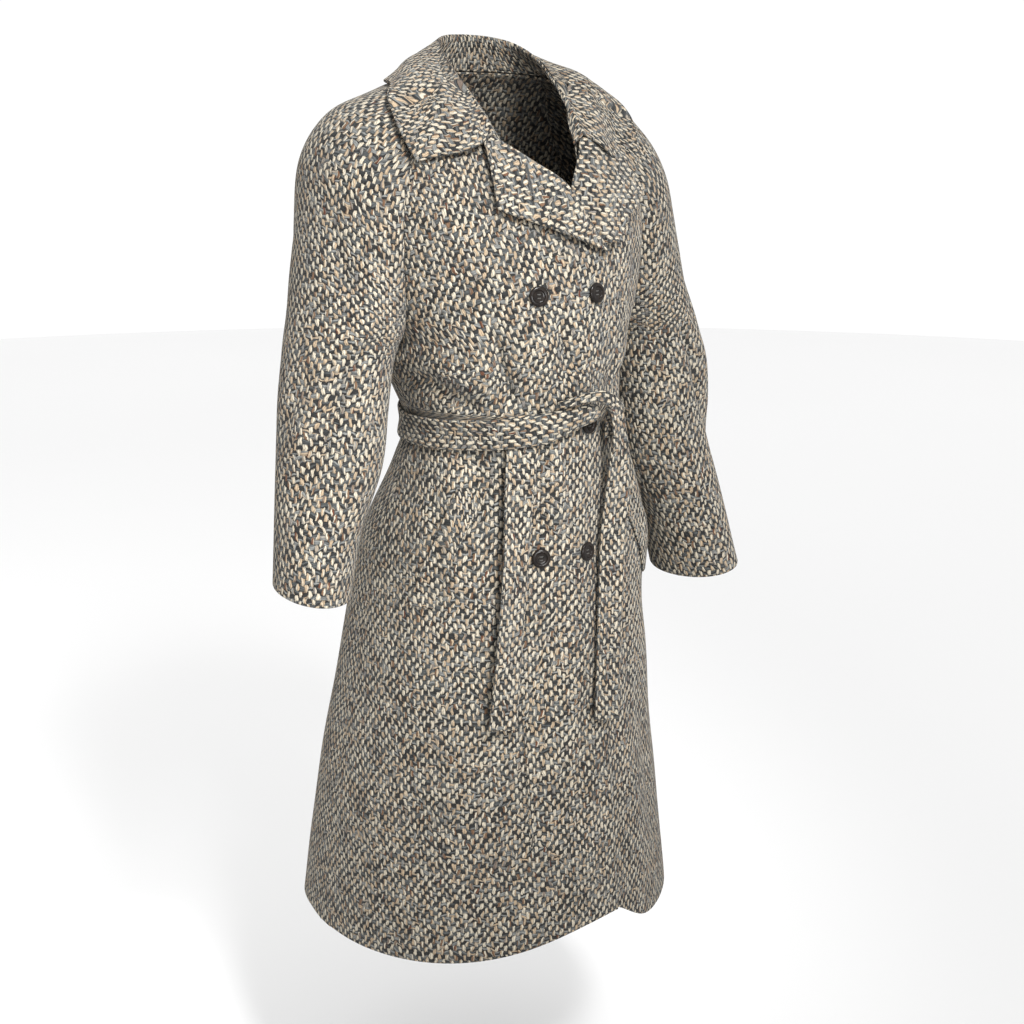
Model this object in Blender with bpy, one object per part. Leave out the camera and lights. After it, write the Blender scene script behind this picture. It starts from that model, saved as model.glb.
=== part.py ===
"""Belted tweed coat, double-breasted with raglan sleeves, in the hollow form it has when worn.

Metres, +Z up. The wearer faces -Y and their right side is at -X. The origin lies midway between the
shoulders, at the height of the neck seam. The right front laps over the left one.
"""

import bmesh
import bpy
import numpy as np
from mathutils import Matrix, Vector

RIGHT, LEFT = -1, 1
SIDES = {"right": RIGHT, "left": LEFT}

# Cloth thickness and the room between layers
WALL = 0.003
SEAM_INSET = 0.0002
LAYER_GAP = 0.0008

# Sampling of the panels
FRONT_COLUMNS = 11
BACK_COLUMNS = 17
SLEEVE_COLUMNS = 21
UPPER_STEPS = np.array((0, 0.7, 1.5, 2.4, 3.3, 4.2, 5.1, 6.0, 6.7, 7.3, 7.7, 8))
LOWER_LEVELS = (-0.35, -0.375, -0.395, -0.413, -0.435, -0.47, -0.52, -0.573, -0.635,
                -0.70, -0.78, -0.86, -0.94, -1.02, -1.08, -1.122)
WAIST_ROW = len(UPPER_STEPS) + LOWER_LEVELS.index(-0.413)
SLEEVE_STEPS = np.concatenate([UPPER_STEPS, np.linspace(8.6, 12, 7)])

# Closing of the fronts
FRONT_EDGE = 0.065
UNDERLAP = WALL + 0.0035
UNDERLAP_FULL, UNDERLAP_NONE = 0.078, 0.125

# Body below the underarm, one row a level
# Columns: level, half_width, front, back, centre_y
BODY = (
    (-1.122, 0.267, 0.258, 0.237, 0.026),
    (-0.900, 0.238, 0.222, 0.215, 0.012),
    (-0.700, 0.204, 0.191, 0.188, -0.002),
    (-0.573, 0.184, 0.170, 0.166, -0.011),
    (-0.470, 0.150, 0.154, 0.140, -0.022),
    (-0.420, 0.135, 0.150, 0.128, -0.026),
    (-0.375, 0.151, 0.156, 0.133, -0.024),
    (-0.325, 0.171, 0.163, 0.151, -0.021),
)
UNDERARM = -0.325

# Sleeve from the neck (row 0) past the underarm (row 8) to the cuff (row 12).
# Each row is an arc about a centre, from the front seam over the outside to the back seam;
# wrap is how far it goes to each side, and at 180 degrees it is a closed ring.
# Columns: centre_x, centre_y, reach, front, back, wrap, z_front, z_out, z_back, twist
SLEEVE = (
    (0.0900, 0.000, 0.0200, 0.035, 0.045, 90, 0.000, 0.008, 0.015, 0),
    (0.1150, 0.004, 0.0440, 0.054, 0.058, 92, -0.020, -0.006, 0.000, 0),
    (0.1390, 0.009, 0.0700, 0.076, 0.074, 93, -0.050, -0.024, -0.030, 0),
    (0.1640, 0.010, 0.0740, 0.090, 0.086, 95, -0.085, -0.050, -0.065, 0),
    (0.1830, 0.008, 0.0745, 0.096, 0.096, 98, -0.130, -0.086, -0.110, 0),
    (0.1940, 0.003, 0.0735, 0.094, 0.102, 104, -0.180, -0.134, -0.165, 0),
    (0.2050, -0.004, 0.0740, 0.087, 0.098, 116, -0.240, -0.197, -0.225, 0),
    (0.2200, -0.015, 0.0715, 0.078, 0.088, 140, -0.290, -0.262, -0.290, 0),
    (0.2350, -0.021, 0.0690, 0.072, 0.080, 180, -0.325, -0.315, -0.325, 0),
    (0.2470, -0.026, 0.0690, 0.067, 0.072, 180, -0.390, -0.375, -0.390, 6),
    (0.2580, -0.033, 0.0660, 0.064, 0.066, 180, -0.460, -0.443, -0.460, 14),
    (0.2810, -0.045, 0.0540, 0.064, 0.064, 180, -0.540, -0.520, -0.540, 22),
    (0.2970, -0.058, 0.0480, 0.066, 0.066, 180, -0.620, -0.597, -0.620, 28),
)
SHOULDER_SHIFT = {RIGHT: (0.0, 0.0, 0.0), LEFT: (-0.004, 0.0, -0.016)}
CUFF_SHIFT = {RIGHT: (0.0, 0.0, 0.0), LEFT: (-0.009, -0.018, -0.045)}

# Middle of the chest and of the back at the same rows, and how far the panel has turned at its seam
# Columns: middle_y, middle_z, turn
CHEST = (
    (-0.112, -0.072, 42), (-0.128, -0.090, 42), (-0.142, -0.112, 45),
    (-0.153, -0.138, 48), (-0.164, -0.172, 52), (-0.174, -0.210, 56),
    (-0.181, -0.252, 62), (-0.184, -0.290, 74), (-0.184, -0.325, 90),
)
SPINE = (
    (0.080, 0.020, 50), (0.099, -0.008, 50), (0.114, -0.043, 50),
    (0.125, -0.080, 50), (0.131, -0.122, 52), (0.134, -0.172, 56),
    (0.134, -0.227, 62), (0.132, -0.282, 74), (0.130, -0.325, 90),
)

# Inner edge of each front, from the front edge up to the neck
# Columns: level, past_middle
EDGE = {
    RIGHT: ((-0.250, 0.065), (-0.196, 0.065), (-0.178, 0.053), (-0.120, 0.0193),
            (-0.100, -0.0075), (-0.083, -0.0335), (-0.060, -0.062), (-0.030, -0.064)),
    LEFT: ((-0.250, 0.065), (-0.180, 0.010), (-0.120, -0.034), (-0.085, -0.055),
           (-0.045, -0.068), (-0.030, -0.069)),
}

# Hem lifted beside the front edge
HEM_LIFT, HEM_LIFT_AT = 0.045, 0.06
HEM_LIFT_WIDTH = {"towards_right": 0.17, "towards_left": 0.05}
HEM_LIFT_FROM = -0.70

# Folds below the underarm: angle from the front in degrees, heights, width and height in metres
# Columns: angle_top, angle_foot, top, foot, width, rise
FOLDS = (
    (-62, -50, -0.44, -0.80, 0.035, 0.006),
    (-18, -12, -0.45, -0.90, 0.040, -0.007),
    (22, 18, -0.46, -0.95, 0.035, -0.006),
    (58, 52, -0.45, -0.90, 0.040, 0.006),
    (-115, -112, -0.45, -1.122, 0.060, 0.008),
    (-165, -160, -0.45, -1.122, 0.060, 0.008),
    (150, 152, -0.45, -1.122, 0.060, 0.008),
    (108, 105, -0.45, -1.122, 0.060, 0.008),
    (76, 72, -0.345, -0.70, 0.060, 0.019),
    (-40, -22, -0.30, -0.41, 0.030, -0.005),
    (38, 25, -0.31, -0.41, 0.030, -0.005),
)

# Collar stations from the front end to the back: row and place at the neck, at the outer edge, and
# the fold. A place is 0 to 1 over the front, to 3 over the sleeve and to 4 at the middle of the back.
# Columns: row_neck, place_neck, row_edge, place_edge, fold_x, fold_y, fold_z
COLLAR = (
    (0.70, 0.45, 3.20, 1.00, 0.060, -0.110, -0.061),
    (0.00, 0.63, 2.45, 1.22, 0.062, -0.076, -0.028),
    (0.00, 1.00, 1.60, 1.50, 0.064, -0.034, 0.003),
    (0.00, 2.00, 0.75, 2.00, 0.063, 0.010, 0.034),
    (0.00, 3.00, 0.90, 2.80, 0.052, 0.046, 0.053),
    (0.00, 3.50, 1.60, 3.40, 0.030, 0.066, 0.061),
    (0.00, 4.00, 1.90, 4.00, 0.000, 0.074, 0.063),
)
COLLAR_STATIONS = 12
COLLAR_LIFT = {"fold": 0.008, "edge": 0.0015}
STAND_STEPS = (0.5, 0.88)
FALL_STEPS = (0.25, 0.5, 0.75, 1.0)
FALL_SPREAD, FALL_DROP = 0.75, 3.4
FOLD_OUT, FOLD_UP, FOLD_TURNED = 0.0045, 0.0035, 0.011

# Lapels: roll line and outer edge in width and height, listed from the break point to the gorge
# Columns: roll_x, roll_z, edge_x, edge_z
LAPEL = {
    RIGHT: ((0.0640, -0.1950, 0.0600, -0.1970), (0.0480, -0.1700, 0.0120, -0.1810),
            (0.0193, -0.1200, -0.0800, -0.1480), (-0.0180, -0.0930, -0.0780, -0.1080),
            (-0.0600, -0.0640, -0.0755, -0.0700)),
    LEFT: ((0.0700, -0.1900, 0.0760, -0.1890), (0.0560, -0.1660, 0.1120, -0.1580),
           (0.0400, -0.1260, 0.1580, -0.1310), (0.0520, -0.0900, 0.1310, -0.0990),
           (0.0640, -0.0600, 0.1060, -0.0760)),
}
LAPEL_LIFT = 0.0012
LAPEL_ROLL = 0.004

# Belt: a band at the waist, a half-knot left of the middle and two hanging ends
BELT_WIDTH = 0.042
BELT_THICK = 0.004
BELT_LIFT = 0.0015
BELT_LIFT_FRONT = 0.0075
BELT_FRONT_ANGLE = 48.0
BELT_LEVEL = {"front": -0.403, "side": -0.424}
BELT_GAP_ANGLES = (-8.5, 25.0)
BELT_STEPS = 42
KNOT_CROWN = 0.006
# Columns: x, level, lift, width
KNOT_TONGUE = (
    (-0.0185, -0.4060, 0.0090, 0.039), (-0.0050, -0.4020, 0.0100, 0.036),
    (0.0100, -0.3970, 0.0120, 0.032), (0.0240, -0.3940, 0.0140, 0.029),
    (0.0340, -0.3935, 0.0145, 0.026), (0.0400, -0.3940, 0.0130, 0.020),
)
# Columns: x, level, lift, width, lean in degrees
BELT_END = {
    LEFT: ((-0.0180, -0.3790, 0.0070, 0.008, 0), (-0.0020, -0.3745, 0.0140, 0.011, 0),
           (0.0160, -0.3695, 0.0190, 0.013, 0), (0.0340, -0.3700, 0.0230, 0.016, 0),
           (0.0490, -0.3820, 0.0250, 0.021, 4), (0.0600, -0.4050, 0.0250, 0.024, 8),
           (0.0680, -0.4350, 0.0230, 0.029, 14), (0.0715, -0.4700, 0.0200, 0.035, 20),
           (0.0700, -0.5400, 0.0165, 0.038, 22), (0.0640, -0.6200, 0.0140, 0.039, 22),
           (0.0550, -0.7200, 0.0110, 0.039, 20), (0.0470, -0.8120, 0.0100, 0.039, 18)),
    RIGHT: ((-0.0540, -0.4280, 0.0015, 0.040, 0), (-0.0590, -0.4700, 0.0040, 0.040, 0),
            (-0.0700, -0.5800, 0.0085, 0.040, 0), (-0.0830, -0.6900, 0.0090, 0.040, 0),
            (-0.0950, -0.7960, 0.0090, 0.040, 0)),
}
BELT_END_STEPS = {LEFT: 28, RIGHT: 12}

# Buttons in three rows of two
BUTTON_RADIUS = 0.0125
BUTTON_THICK = 0.0045
BUTTON_RIM = 0.003
BUTTON_DISH = 0.0014
BUTTON_HOLE, BUTTON_HOLE_AT = 0.0011, 0.0032
BUTTON_SIDES = 18
BUTTON_ROWS = (("top", -0.247, 0.041), ("middle", -0.411, 0.037), ("bottom", -0.577, 0.034))

# Slanted pocket welts at the hips: angle from the front and height of the two ends
WELT_WIDTH, WELT_THICK = 0.038, 0.003
WELT_FOOT, WELT_TOP = (58.5, -0.640), (44.0, -0.485)
WELT_STEPS = 8

# Colours of the photographed materials, linear
TWEED = (0.245, 0.225, 0.190)
BELT_TWEED = (0.300, 0.275, 0.235)
HORN = (0.020, 0.016, 0.014)


def curve(at, rows, x):
    """Smooth curve through the rows of a table, placed at `at`, read at each x."""
    at = np.asarray(at, float)
    rows = np.asarray(rows, float)
    x = np.asarray(x, float)
    slope = np.gradient(rows, at, axis=0)
    i = np.clip(np.searchsorted(at, x, side="right") - 1, 0, len(at) - 2)
    step = at[i + 1] - at[i]
    f = ((x - at[i]) / step)[..., None]
    step = step[..., None]
    start = (1 + 2 * f) * (1 - f) ** 2 * rows[i] + f * (1 - f) ** 2 * step * slope[i]
    end = f * f * (3 - 2 * f) * rows[i + 1] + f * f * (f - 1) * step * slope[i + 1]
    return start + end


def ease(x, start, end):
    """0 at start, 1 at end, smooth between."""
    f = np.clip((np.asarray(x, float) - start) / (end - start), 0, 1)
    return f * f * (3 - 2 * f)


def points_of(*parts):
    """Coordinates joined into points."""
    return np.stack(np.broadcast_arrays(*parts), axis=-1)


def body_ring(level):
    """Half width, front depth, back depth and centre of the body at a level."""
    table = np.array(BODY)
    return np.moveaxis(curve(table[:, 0], table[:, 1:], level), -1, 0)


def fold_rise(angle, level, half_width):
    """How far the folds push the cloth out."""
    rise = np.zeros(np.broadcast(angle, level).shape)
    for angle_top, angle_foot, top, foot, width, height in FOLDS:
        down = np.clip((top - level) / (top - foot), 0, 1)
        middle = np.radians(angle_top + (angle_foot - angle_top) * down)
        turned = (angle - middle + np.pi) % (2 * np.pi) - np.pi
        across = turned * half_width / width
        fade_out = 1 if foot <= BODY[0][0] else 1 - ease(down, 0.6, 1)
        rise = rise + height * np.exp(-across ** 2) * ease(down, 0, 0.25) * fade_out
    return rise


def hem_lift(x, y):
    """How far the hem lies above its level, beside the front edge only."""
    towards = np.where(x < HEM_LIFT_AT, HEM_LIFT_WIDTH["towards_right"], HEM_LIFT_WIDTH["towards_left"])
    return HEM_LIFT * np.exp(-((x - HEM_LIFT_AT) / towards) ** 2) * (y < 0)


def body(angle, level):
    """Point of the body below the underarm; the angle is 0 at the front, positive to the left."""
    half_width, front, back, centre_y = body_ring(level)
    depth = np.where(np.cos(angle) > 0, front, back)
    rise = fold_rise(angle, level, half_width)
    x = (half_width + rise) * np.sin(angle)
    y = centre_y - (depth + rise) * np.cos(angle)
    z = level + hem_lift(x, y) * ease(level, HEM_LIFT_FROM, BODY[0][0])
    return points_of(x, y, z)


def arm(row, place, side):
    """Point of a sleeve; the place runs from -1 at the front seam over 0 outside to 1 at the back."""
    values = curve(np.arange(len(SLEEVE)), SLEEVE, row)
    centre_x, centre_y, reach, front, back, wrap, z_front, z_out, z_back, twist = np.moveaxis(values, -1, 0)
    angle = np.radians(np.minimum(wrap, 180)) * np.abs(place)
    depth = np.where(place < 0, -front, back)
    out, fore = reach * np.cos(angle), depth * np.sin(angle)
    turn = np.radians(twist)
    x = centre_x + out * np.cos(turn) - fore * np.sin(turn)
    y = centre_y + out * np.sin(turn) + fore * np.cos(turn)
    z_end = np.where(place < 0, z_front, z_back)
    z = z_out + (z_end - z_out) * np.sin(np.abs(place) * np.pi / 2) ** 2
    at_shoulder = ease(row, 0.5, 2.5) * (1 - ease(row, 5, 8))
    shift = at_shoulder[..., None] * SHOULDER_SHIFT[side] + ease(row, 8, 11)[..., None] * CUFF_SHIFT[side]
    return points_of(x, y, z) * (side, 1, 1) + shift


def middle_out(row, place, table, seam):
    """Point of the chest or back above the underarm, from the middle (0) to a seam (1 or -1)."""
    middle_y, middle_z, turn = np.moveaxis(curve(np.arange(len(table)), table, row), -1, 0)
    turn = np.radians(turn)
    away = np.abs(place)
    x = seam[..., 0] * np.sin(turn * away) / np.sin(turn)
    y = middle_y + (seam[..., 1] - middle_y) * (1 - np.cos(turn * away)) / (1 - np.cos(turn))
    z = middle_z + (seam[..., 2] - middle_z) * away ** 2
    return points_of(x, y, z)


def chest(row, place):
    """Point of the chest; the place is -1 at the right seam, 0 in the middle and 1 at the left seam."""
    place = np.asarray(place, float)
    right = middle_out(row, place, CHEST, arm(row, np.full(np.shape(row), -1.0), RIGHT))
    left = middle_out(row, place, CHEST, arm(row, np.full(np.shape(row), -1.0), LEFT))
    return np.where((place < 0)[..., None], right, left)


def spine(row, place):
    """Point of the back above the underarm, in the same way."""
    place = np.asarray(place, float)
    right = middle_out(row, place, SPINE, arm(row, np.full(np.shape(row), 1.0), RIGHT))
    left = middle_out(row, place, SPINE, arm(row, np.full(np.shape(row), 1.0), LEFT))
    return np.where((place < 0)[..., None], right, left)


def chest_place(row, x):
    """Place across the chest at which a row has the given x."""
    seam = arm(row, np.full(np.shape(row), -1.0), LEFT)[..., 0]
    turn = np.radians(curve(np.arange(len(CHEST)), CHEST, row)[..., 2])
    return np.arcsin(np.clip(x * np.sin(turn) / seam, -1, 1)) / turn


def front(x, level):
    """Point of the front at a width and a height."""
    x, level = np.broadcast_arrays(np.asarray(x, float), np.asarray(level, float))
    low, high = np.zeros(x.shape), np.full(x.shape, 8.0)
    for _ in range(30):
        row = (low + high) / 2
        above = chest(row, chest_place(row, x))[..., 2] > level
        low, high = np.where(above, row, low), np.where(above, high, row)
    upper = chest(low, chest_place(low, x))
    lower_level = np.minimum(level, UNDERARM)
    half_width = body_ring(lower_level)[0]
    lower = body(np.arcsin(np.clip(x / half_width, -1, 1)), lower_level)
    return np.where((level > UNDERARM)[..., None], upper, lower)


def unit(vectors):
    """Vectors scaled to length one."""
    return vectors / np.maximum(np.linalg.norm(vectors, axis=-1, keepdims=True), 1e-12)


def normal_of(surface, a, b, step=1e-4):
    """Direction across a surface of two values."""
    along_a = surface(a + step, b) - surface(a - step, b)
    along_b = surface(a, b + step) - surface(a, b - step)
    return unit(np.cross(along_a, along_b))


def on_front(x, level, lift):
    """Point lifted off the front, and the direction it is lifted in."""
    x, level = np.broadcast_arrays(np.asarray(x, float), np.asarray(level, float))
    out = normal_of(front, x, level, 1e-3)
    return front(x, level) + out * np.asarray(lift)[..., None], out


def edge_place(row, side):
    """Place across the chest of a front's inner edge."""
    table = np.array(EDGE[side])
    x = np.zeros(np.shape(row))
    for _ in range(40):
        level = chest(row, chest_place(row, x))[..., 2]
        past = np.interp(level, table[:, 0], table[:, 1])
        x = 0.5 * x - 0.5 * side * past
    return chest_place(row, x)


def front_sheet(side):
    """Outer points of a front, rows from neck to hem, columns from the seam to the inner edge."""
    across = np.linspace(0, 1, FRONT_COLUMNS)
    row = UPPER_STEPS[:, None]
    place = side + (edge_place(row, side) - side) * across
    upper = chest(np.broadcast_to(row, place.shape), place)
    level = np.array(LOWER_LEVELS)[:, None]
    seam = np.full(level.shape, side * np.pi / 2)
    edge = np.arcsin(-side * FRONT_EDGE / body_ring(level)[0])
    lower = body(seam + (edge - seam) * across, np.broadcast_to(level, (len(level), FRONT_COLUMNS)))
    return np.concatenate([upper, lower])


def back_sheet():
    """Outer points of the back, rows from neck to hem, columns from the left seam to the right."""
    across = np.linspace(1, -1, BACK_COLUMNS)
    upper = spine(*np.broadcast_arrays(UPPER_STEPS[:, None], across))
    level, angle = np.broadcast_arrays(np.array(LOWER_LEVELS)[:, None], np.pi - across * np.pi / 2)
    return np.concatenate([upper, body(angle, level)])


def sleeve_sheet(side):
    """Outer points of a sleeve, rows from neck to cuff, columns from the front seam to the back."""
    row, place = np.broadcast_arrays(SLEEVE_STEPS[:, None], np.linspace(-1, 1, SLEEVE_COLUMNS))
    return arm(row, place, side)


def key(point):
    """Name of a place, the same for points that meet."""
    return tuple(np.round(point, 5))


class Sheet:
    """A grid of points as one surface; points that meet are one vertex."""

    def __init__(self, grid, flipped=False):
        self.index, self.points, self.faces = {}, [], []
        rows, columns = grid.shape[:2]
        numbers = np.empty((rows, columns), int)
        for r in range(rows):
            for c in range(columns):
                name = key(grid[r, c])
                if name not in self.index:
                    self.index[name] = len(self.points)
                    self.points.append(grid[r, c])
                numbers[r, c] = self.index[name]
        self.numbers = numbers
        for r in range(rows - 1):
            for c in range(columns - 1):
                corners = numbers[r, c], numbers[r + 1, c], numbers[r + 1, c + 1], numbers[r, c + 1]
                for face in self.halves(*corners):
                    if len(set(face)) == 3:
                        self.faces.append(face[::-1] if flipped else face)
        self.points = np.array(self.points)

    def halves(self, a, b, c, d):
        """Two triangles of a quad, split along its shorter diagonal."""
        across = np.linalg.norm(self.points[a] - self.points[c])
        if across < np.linalg.norm(self.points[b] - self.points[d]):
            return [a, b, c], [a, c, d]
        return [a, b, d], [b, c, d]

    def face_normal(self, face):
        """Direction of a face, as long as twice its area."""
        a, b, c = self.points[face]
        return np.cross(b - a, c - a)

    def normals(self):
        """Direction at each point, from its faces."""
        total = np.zeros_like(self.points)
        for face in self.faces:
            total[face] += self.face_normal(face)
        return total

    def border(self):
        """Edges with one face, in that face's order."""
        uses = {}
        for number, face in enumerate(self.faces):
            for a, b in zip(face, face[1:] + face[:1]):
                uses.setdefault((min(a, b), max(a, b)), []).append((a, b, number))
        return [found[0] for found in uses.values() if len(found) == 1]

    def draw_in(self, normals):
        """Points with the border moved inwards, so that neighbours stay apart at a seam."""
        inward = np.zeros_like(self.points)
        for a, b, number in self.border():
            along = unit(self.points[b] - self.points[a])
            inward[[a, b]] += unit(np.cross(self.face_normal(self.faces[number]), along))
        inward -= (inward * normals).sum(1, keepdims=True) * normals
        return self.points + unit(inward) * SEAM_INSET * (np.linalg.norm(inward, axis=1) > 1e-9)[:, None]


def shared_normals(sheets):
    """Directions at the points of sheets, alike where two of them meet."""
    total = {}
    for sheet in sheets:
        for point, normal in zip(sheet.points, sheet.normals()):
            total[key(point)] = total.get(key(point), 0) + normal
    return [unit(np.array([total[key(p)] for p in sheet.points])) for sheet in sheets]


def finish(name, colour, vertices, faces, roughness):
    """Object with a plain material from vertices and faces."""
    mesh = bpy.data.meshes.new(name)
    mesh.from_pydata([tuple(v) for v in vertices], [], faces)
    mesh.shade_smooth()
    mesh.set_sharp_from_angle(angle=np.radians(50))
    material = bpy.data.materials.new(name)
    material.use_nodes = True
    shader = material.node_tree.nodes["Principled BSDF"]
    shader.inputs["Base Color"].default_value = (*colour, 1)
    shader.inputs["Roughness"].default_value = roughness
    shader.inputs["Metallic"].default_value = 0
    mesh.materials.append(material)
    thing = bpy.data.objects.new(name, mesh)
    bpy.context.scene.collection.objects.link(thing)
    return thing


def cloth(name, sheet, normals, thick=WALL, colour=TWEED):
    """Wall of cloth under a sheet of outer points."""
    outer = sheet.draw_in(normals)
    count = len(outer)
    faces = list(sheet.faces)
    faces += [[n + count for n in face[::-1]] for face in sheet.faces]
    faces += [[b, a, a + count, b + count] for a, b, _ in sheet.border()]
    return finish(name, colour, np.concatenate([outer, outer - normals * thick]), faces, 0.95)


def panels():
    """Fronts, back and sleeves, sewn along shared lines."""
    for name, side in SIDES.items():
        sleeve = Sheet(sleeve_sheet(side), flipped=side == RIGHT)
        cloth("sleeve_" + name, sleeve, unit(sleeve.normals()))
    back = back_sheet()
    middle = BACK_COLUMNS // 2
    grids = {
        "front_right": front_sheet(RIGHT),
        "front_left": front_sheet(LEFT),
        "back_left": back[:, :middle + 1],
        "back_right": back[:, middle:],
    }
    body_sheets = {}
    for name, grid in grids.items():
        flipped = name == "front_left"
        body_sheets[name + "_top"] = Sheet(grid[:WAIST_ROW + 1], flipped)
        body_sheets[name + "_skirt"] = Sheet(grid[WAIST_ROW:], flipped)
    for (name, sheet), normals in zip(body_sheets.items(), shared_normals(body_sheets.values())):
        if name.startswith("front_left"):
            under = UNDERLAP * (1 - ease(sheet.points[:, 0], UNDERLAP_FULL, UNDERLAP_NONE))
            sheet.points = sheet.points - normals * under[:, None]
        cloth(name, sheet, normals)


def cape(row, place, side):
    """Point above the underarm; the place is 0 to 1 over the front, to 3 over the sleeve, to 4 behind."""
    on_chest = chest(row, side * np.clip(place, 0, 1))
    on_arm = arm(row, np.clip(place - 2, -1, 1), side)
    on_back = spine(row, side * np.clip(4 - place, 0, 1))
    place = place[..., None]
    return np.where(place < 1, on_chest, np.where(place < 3, on_arm, on_back))


def collar_half(side):
    """Outer points of half the collar, rows from the front end to the back, columns from neck to edge."""
    station = np.linspace(0, len(COLLAR) - 1, COLLAR_STATIONS + 1)
    values = curve(np.arange(len(COLLAR)), COLLAR, station)
    row_neck, place_neck, row_edge, place_edge = np.moveaxis(values[:, :4], -1, 0)
    fold = values[:, 4:] * (side, 1, 1)
    row_neck = np.maximum(row_neck, 0)
    neck = cape(row_neck, place_neck, side)
    along = np.gradient(fold, axis=0)
    out = unit(np.cross(along, (0, 0, 1)) * side)
    up = np.array((0, 0, 1.0))
    foot = neck - out * WALL / 2 + up * LAYER_GAP
    columns = [foot] + [foot + share * (fold - foot) for share in STAND_STEPS]
    columns.append(fold + out * FOLD_OUT + up * FOLD_UP)
    turned = fold + out * FOLD_TURNED
    columns.append(turned)
    for share in FALL_STEPS:
        row = row_neck + (row_edge - row_neck) * share ** FALL_SPREAD
        place = place_neck + (place_edge - place_neck) * share
        lift = WALL + COLLAR_LIFT["edge"] + COLLAR_LIFT["fold"] * (1 - share)
        lying = cape(row, place, side) + cape_out(row, place, side) * lift
        columns.append(lying + (turned - neck) * (1 - share) ** FALL_DROP)
    return np.stack(columns, axis=1)


def cape_out(row, place, side):
    """Direction away from the cloth above the underarm."""
    step = 0.02
    place = np.clip(place, step, 4 - step)
    place = np.where(np.abs(place - 1) < step, 1 + step, place)
    row = np.maximum(row, step)
    along_row = cape(row + step, place, side) - cape(row - step, place, side)
    along_place = cape(row, place + step, side) - cape(row, place - step, side)
    return unit(np.cross(along_row, along_place)) * side


def collar():
    """Collar in one piece: stand, fold and fall."""
    right, left = collar_half(RIGHT), collar_half(LEFT)
    grid = np.concatenate([right, left[::-1][1:]])
    sheet = Sheet(grid, flipped=True)
    cloth("collar", sheet, unit(sheet.normals()))


def lapel(name, side):
    """Lapel turned back on its front, made from the front's points."""
    table = np.array(LAPEL[side])
    along = curve(np.arange(len(table)), table, np.linspace(0, len(table) - 1, 9))
    along[::2] = table
    across = np.linspace(0, 1, 6)
    x = along[:, :1] + (along[:, 2:3] - along[:, :1]) * across
    level = along[:, 1:2] + (along[:, 3:] - along[:, 1:2]) * across
    lift = WALL + LAPEL_LIFT + LAPEL_ROLL * np.sin(np.pi * across ** 0.6)
    points, out = on_front(x, level, np.broadcast_to(lift, x.shape))
    sheet = Sheet(points, flipped=side == LEFT)
    normals = {key(p): n for p, n in zip(points.reshape(-1, 3), out.reshape(-1, 3))}
    cloth(name, sheet, np.array([normals[key(p)] for p in sheet.points]))


def belt_band():
    """Band round the waist from one side of the knot to the other."""
    start, end = np.radians(BELT_GAP_ANGLES[1]), np.radians(BELT_GAP_ANGLES[0] + 360)
    angle = np.linspace(start, end, BELT_STEPS + 1)[:, None]
    wrapped = (angle + np.pi) % (2 * np.pi) - np.pi
    sideways = np.abs(np.sin(angle))
    level = BELT_LEVEL["front"] + (BELT_LEVEL["side"] - BELT_LEVEL["front"]) * sideways
    level = level + np.linspace(0.5, -0.5, 4) * BELT_WIDTH
    wrapped = np.broadcast_to(wrapped, level.shape)
    near_front = 1 - ease(np.degrees(np.abs(wrapped)), BELT_FRONT_ANGLE - 10, BELT_FRONT_ANGLE)
    lift = BELT_LIFT + (BELT_LIFT_FRONT - BELT_LIFT) * near_front + BELT_THICK
    out = normal_of(body, wrapped, level)
    grid = body(wrapped, level) + out * lift[..., None]
    sheet = Sheet(grid)
    cloth("belt_band", sheet, unit(sheet.normals()), BELT_THICK, BELT_TWEED)


def belt_end(name, side):
    """Hanging end of the belt, a ribbon laid over the front along a table of places."""
    table = np.array(BELT_END[side])
    path = curve(np.arange(len(table)), table, np.linspace(0, len(table) - 1, BELT_END_STEPS[side] + 1))
    middle, out = on_front(path[:, 0], path[:, 1], path[:, 2] + BELT_THICK)
    forward = unit(np.gradient(middle, axis=0))
    lean = np.radians(path[:, 4, None])
    across = unit(np.cross(out, forward)) * np.cos(lean) + out * np.sin(lean)
    across *= path[:, 3, None] / 2
    sheet = Sheet(np.stack([middle - across, middle, middle + across], axis=1))
    cloth(name, sheet, unit(sheet.normals()), BELT_THICK, BELT_TWEED)


def knot_tongue():
    """Crossing of the belt: the band's end, narrowed and pushed out under the turned end."""
    table = np.array(KNOT_TONGUE)
    path = curve(np.arange(len(table)), table, np.linspace(0, len(table) - 1, 9))
    rows = []
    for share in np.linspace(0.5, -0.5, 5):
        level = path[:, 1] + share * path[:, 3]
        lift = path[:, 2] + BELT_THICK - KNOT_CROWN * (2 * share) ** 2
        rows.append(on_front(path[:, 0], level, lift)[0])
    sheet = Sheet(np.stack(rows, axis=1), flipped=True)
    cloth("belt_knot", sheet, unit(sheet.normals()), BELT_THICK, BELT_TWEED)


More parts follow.
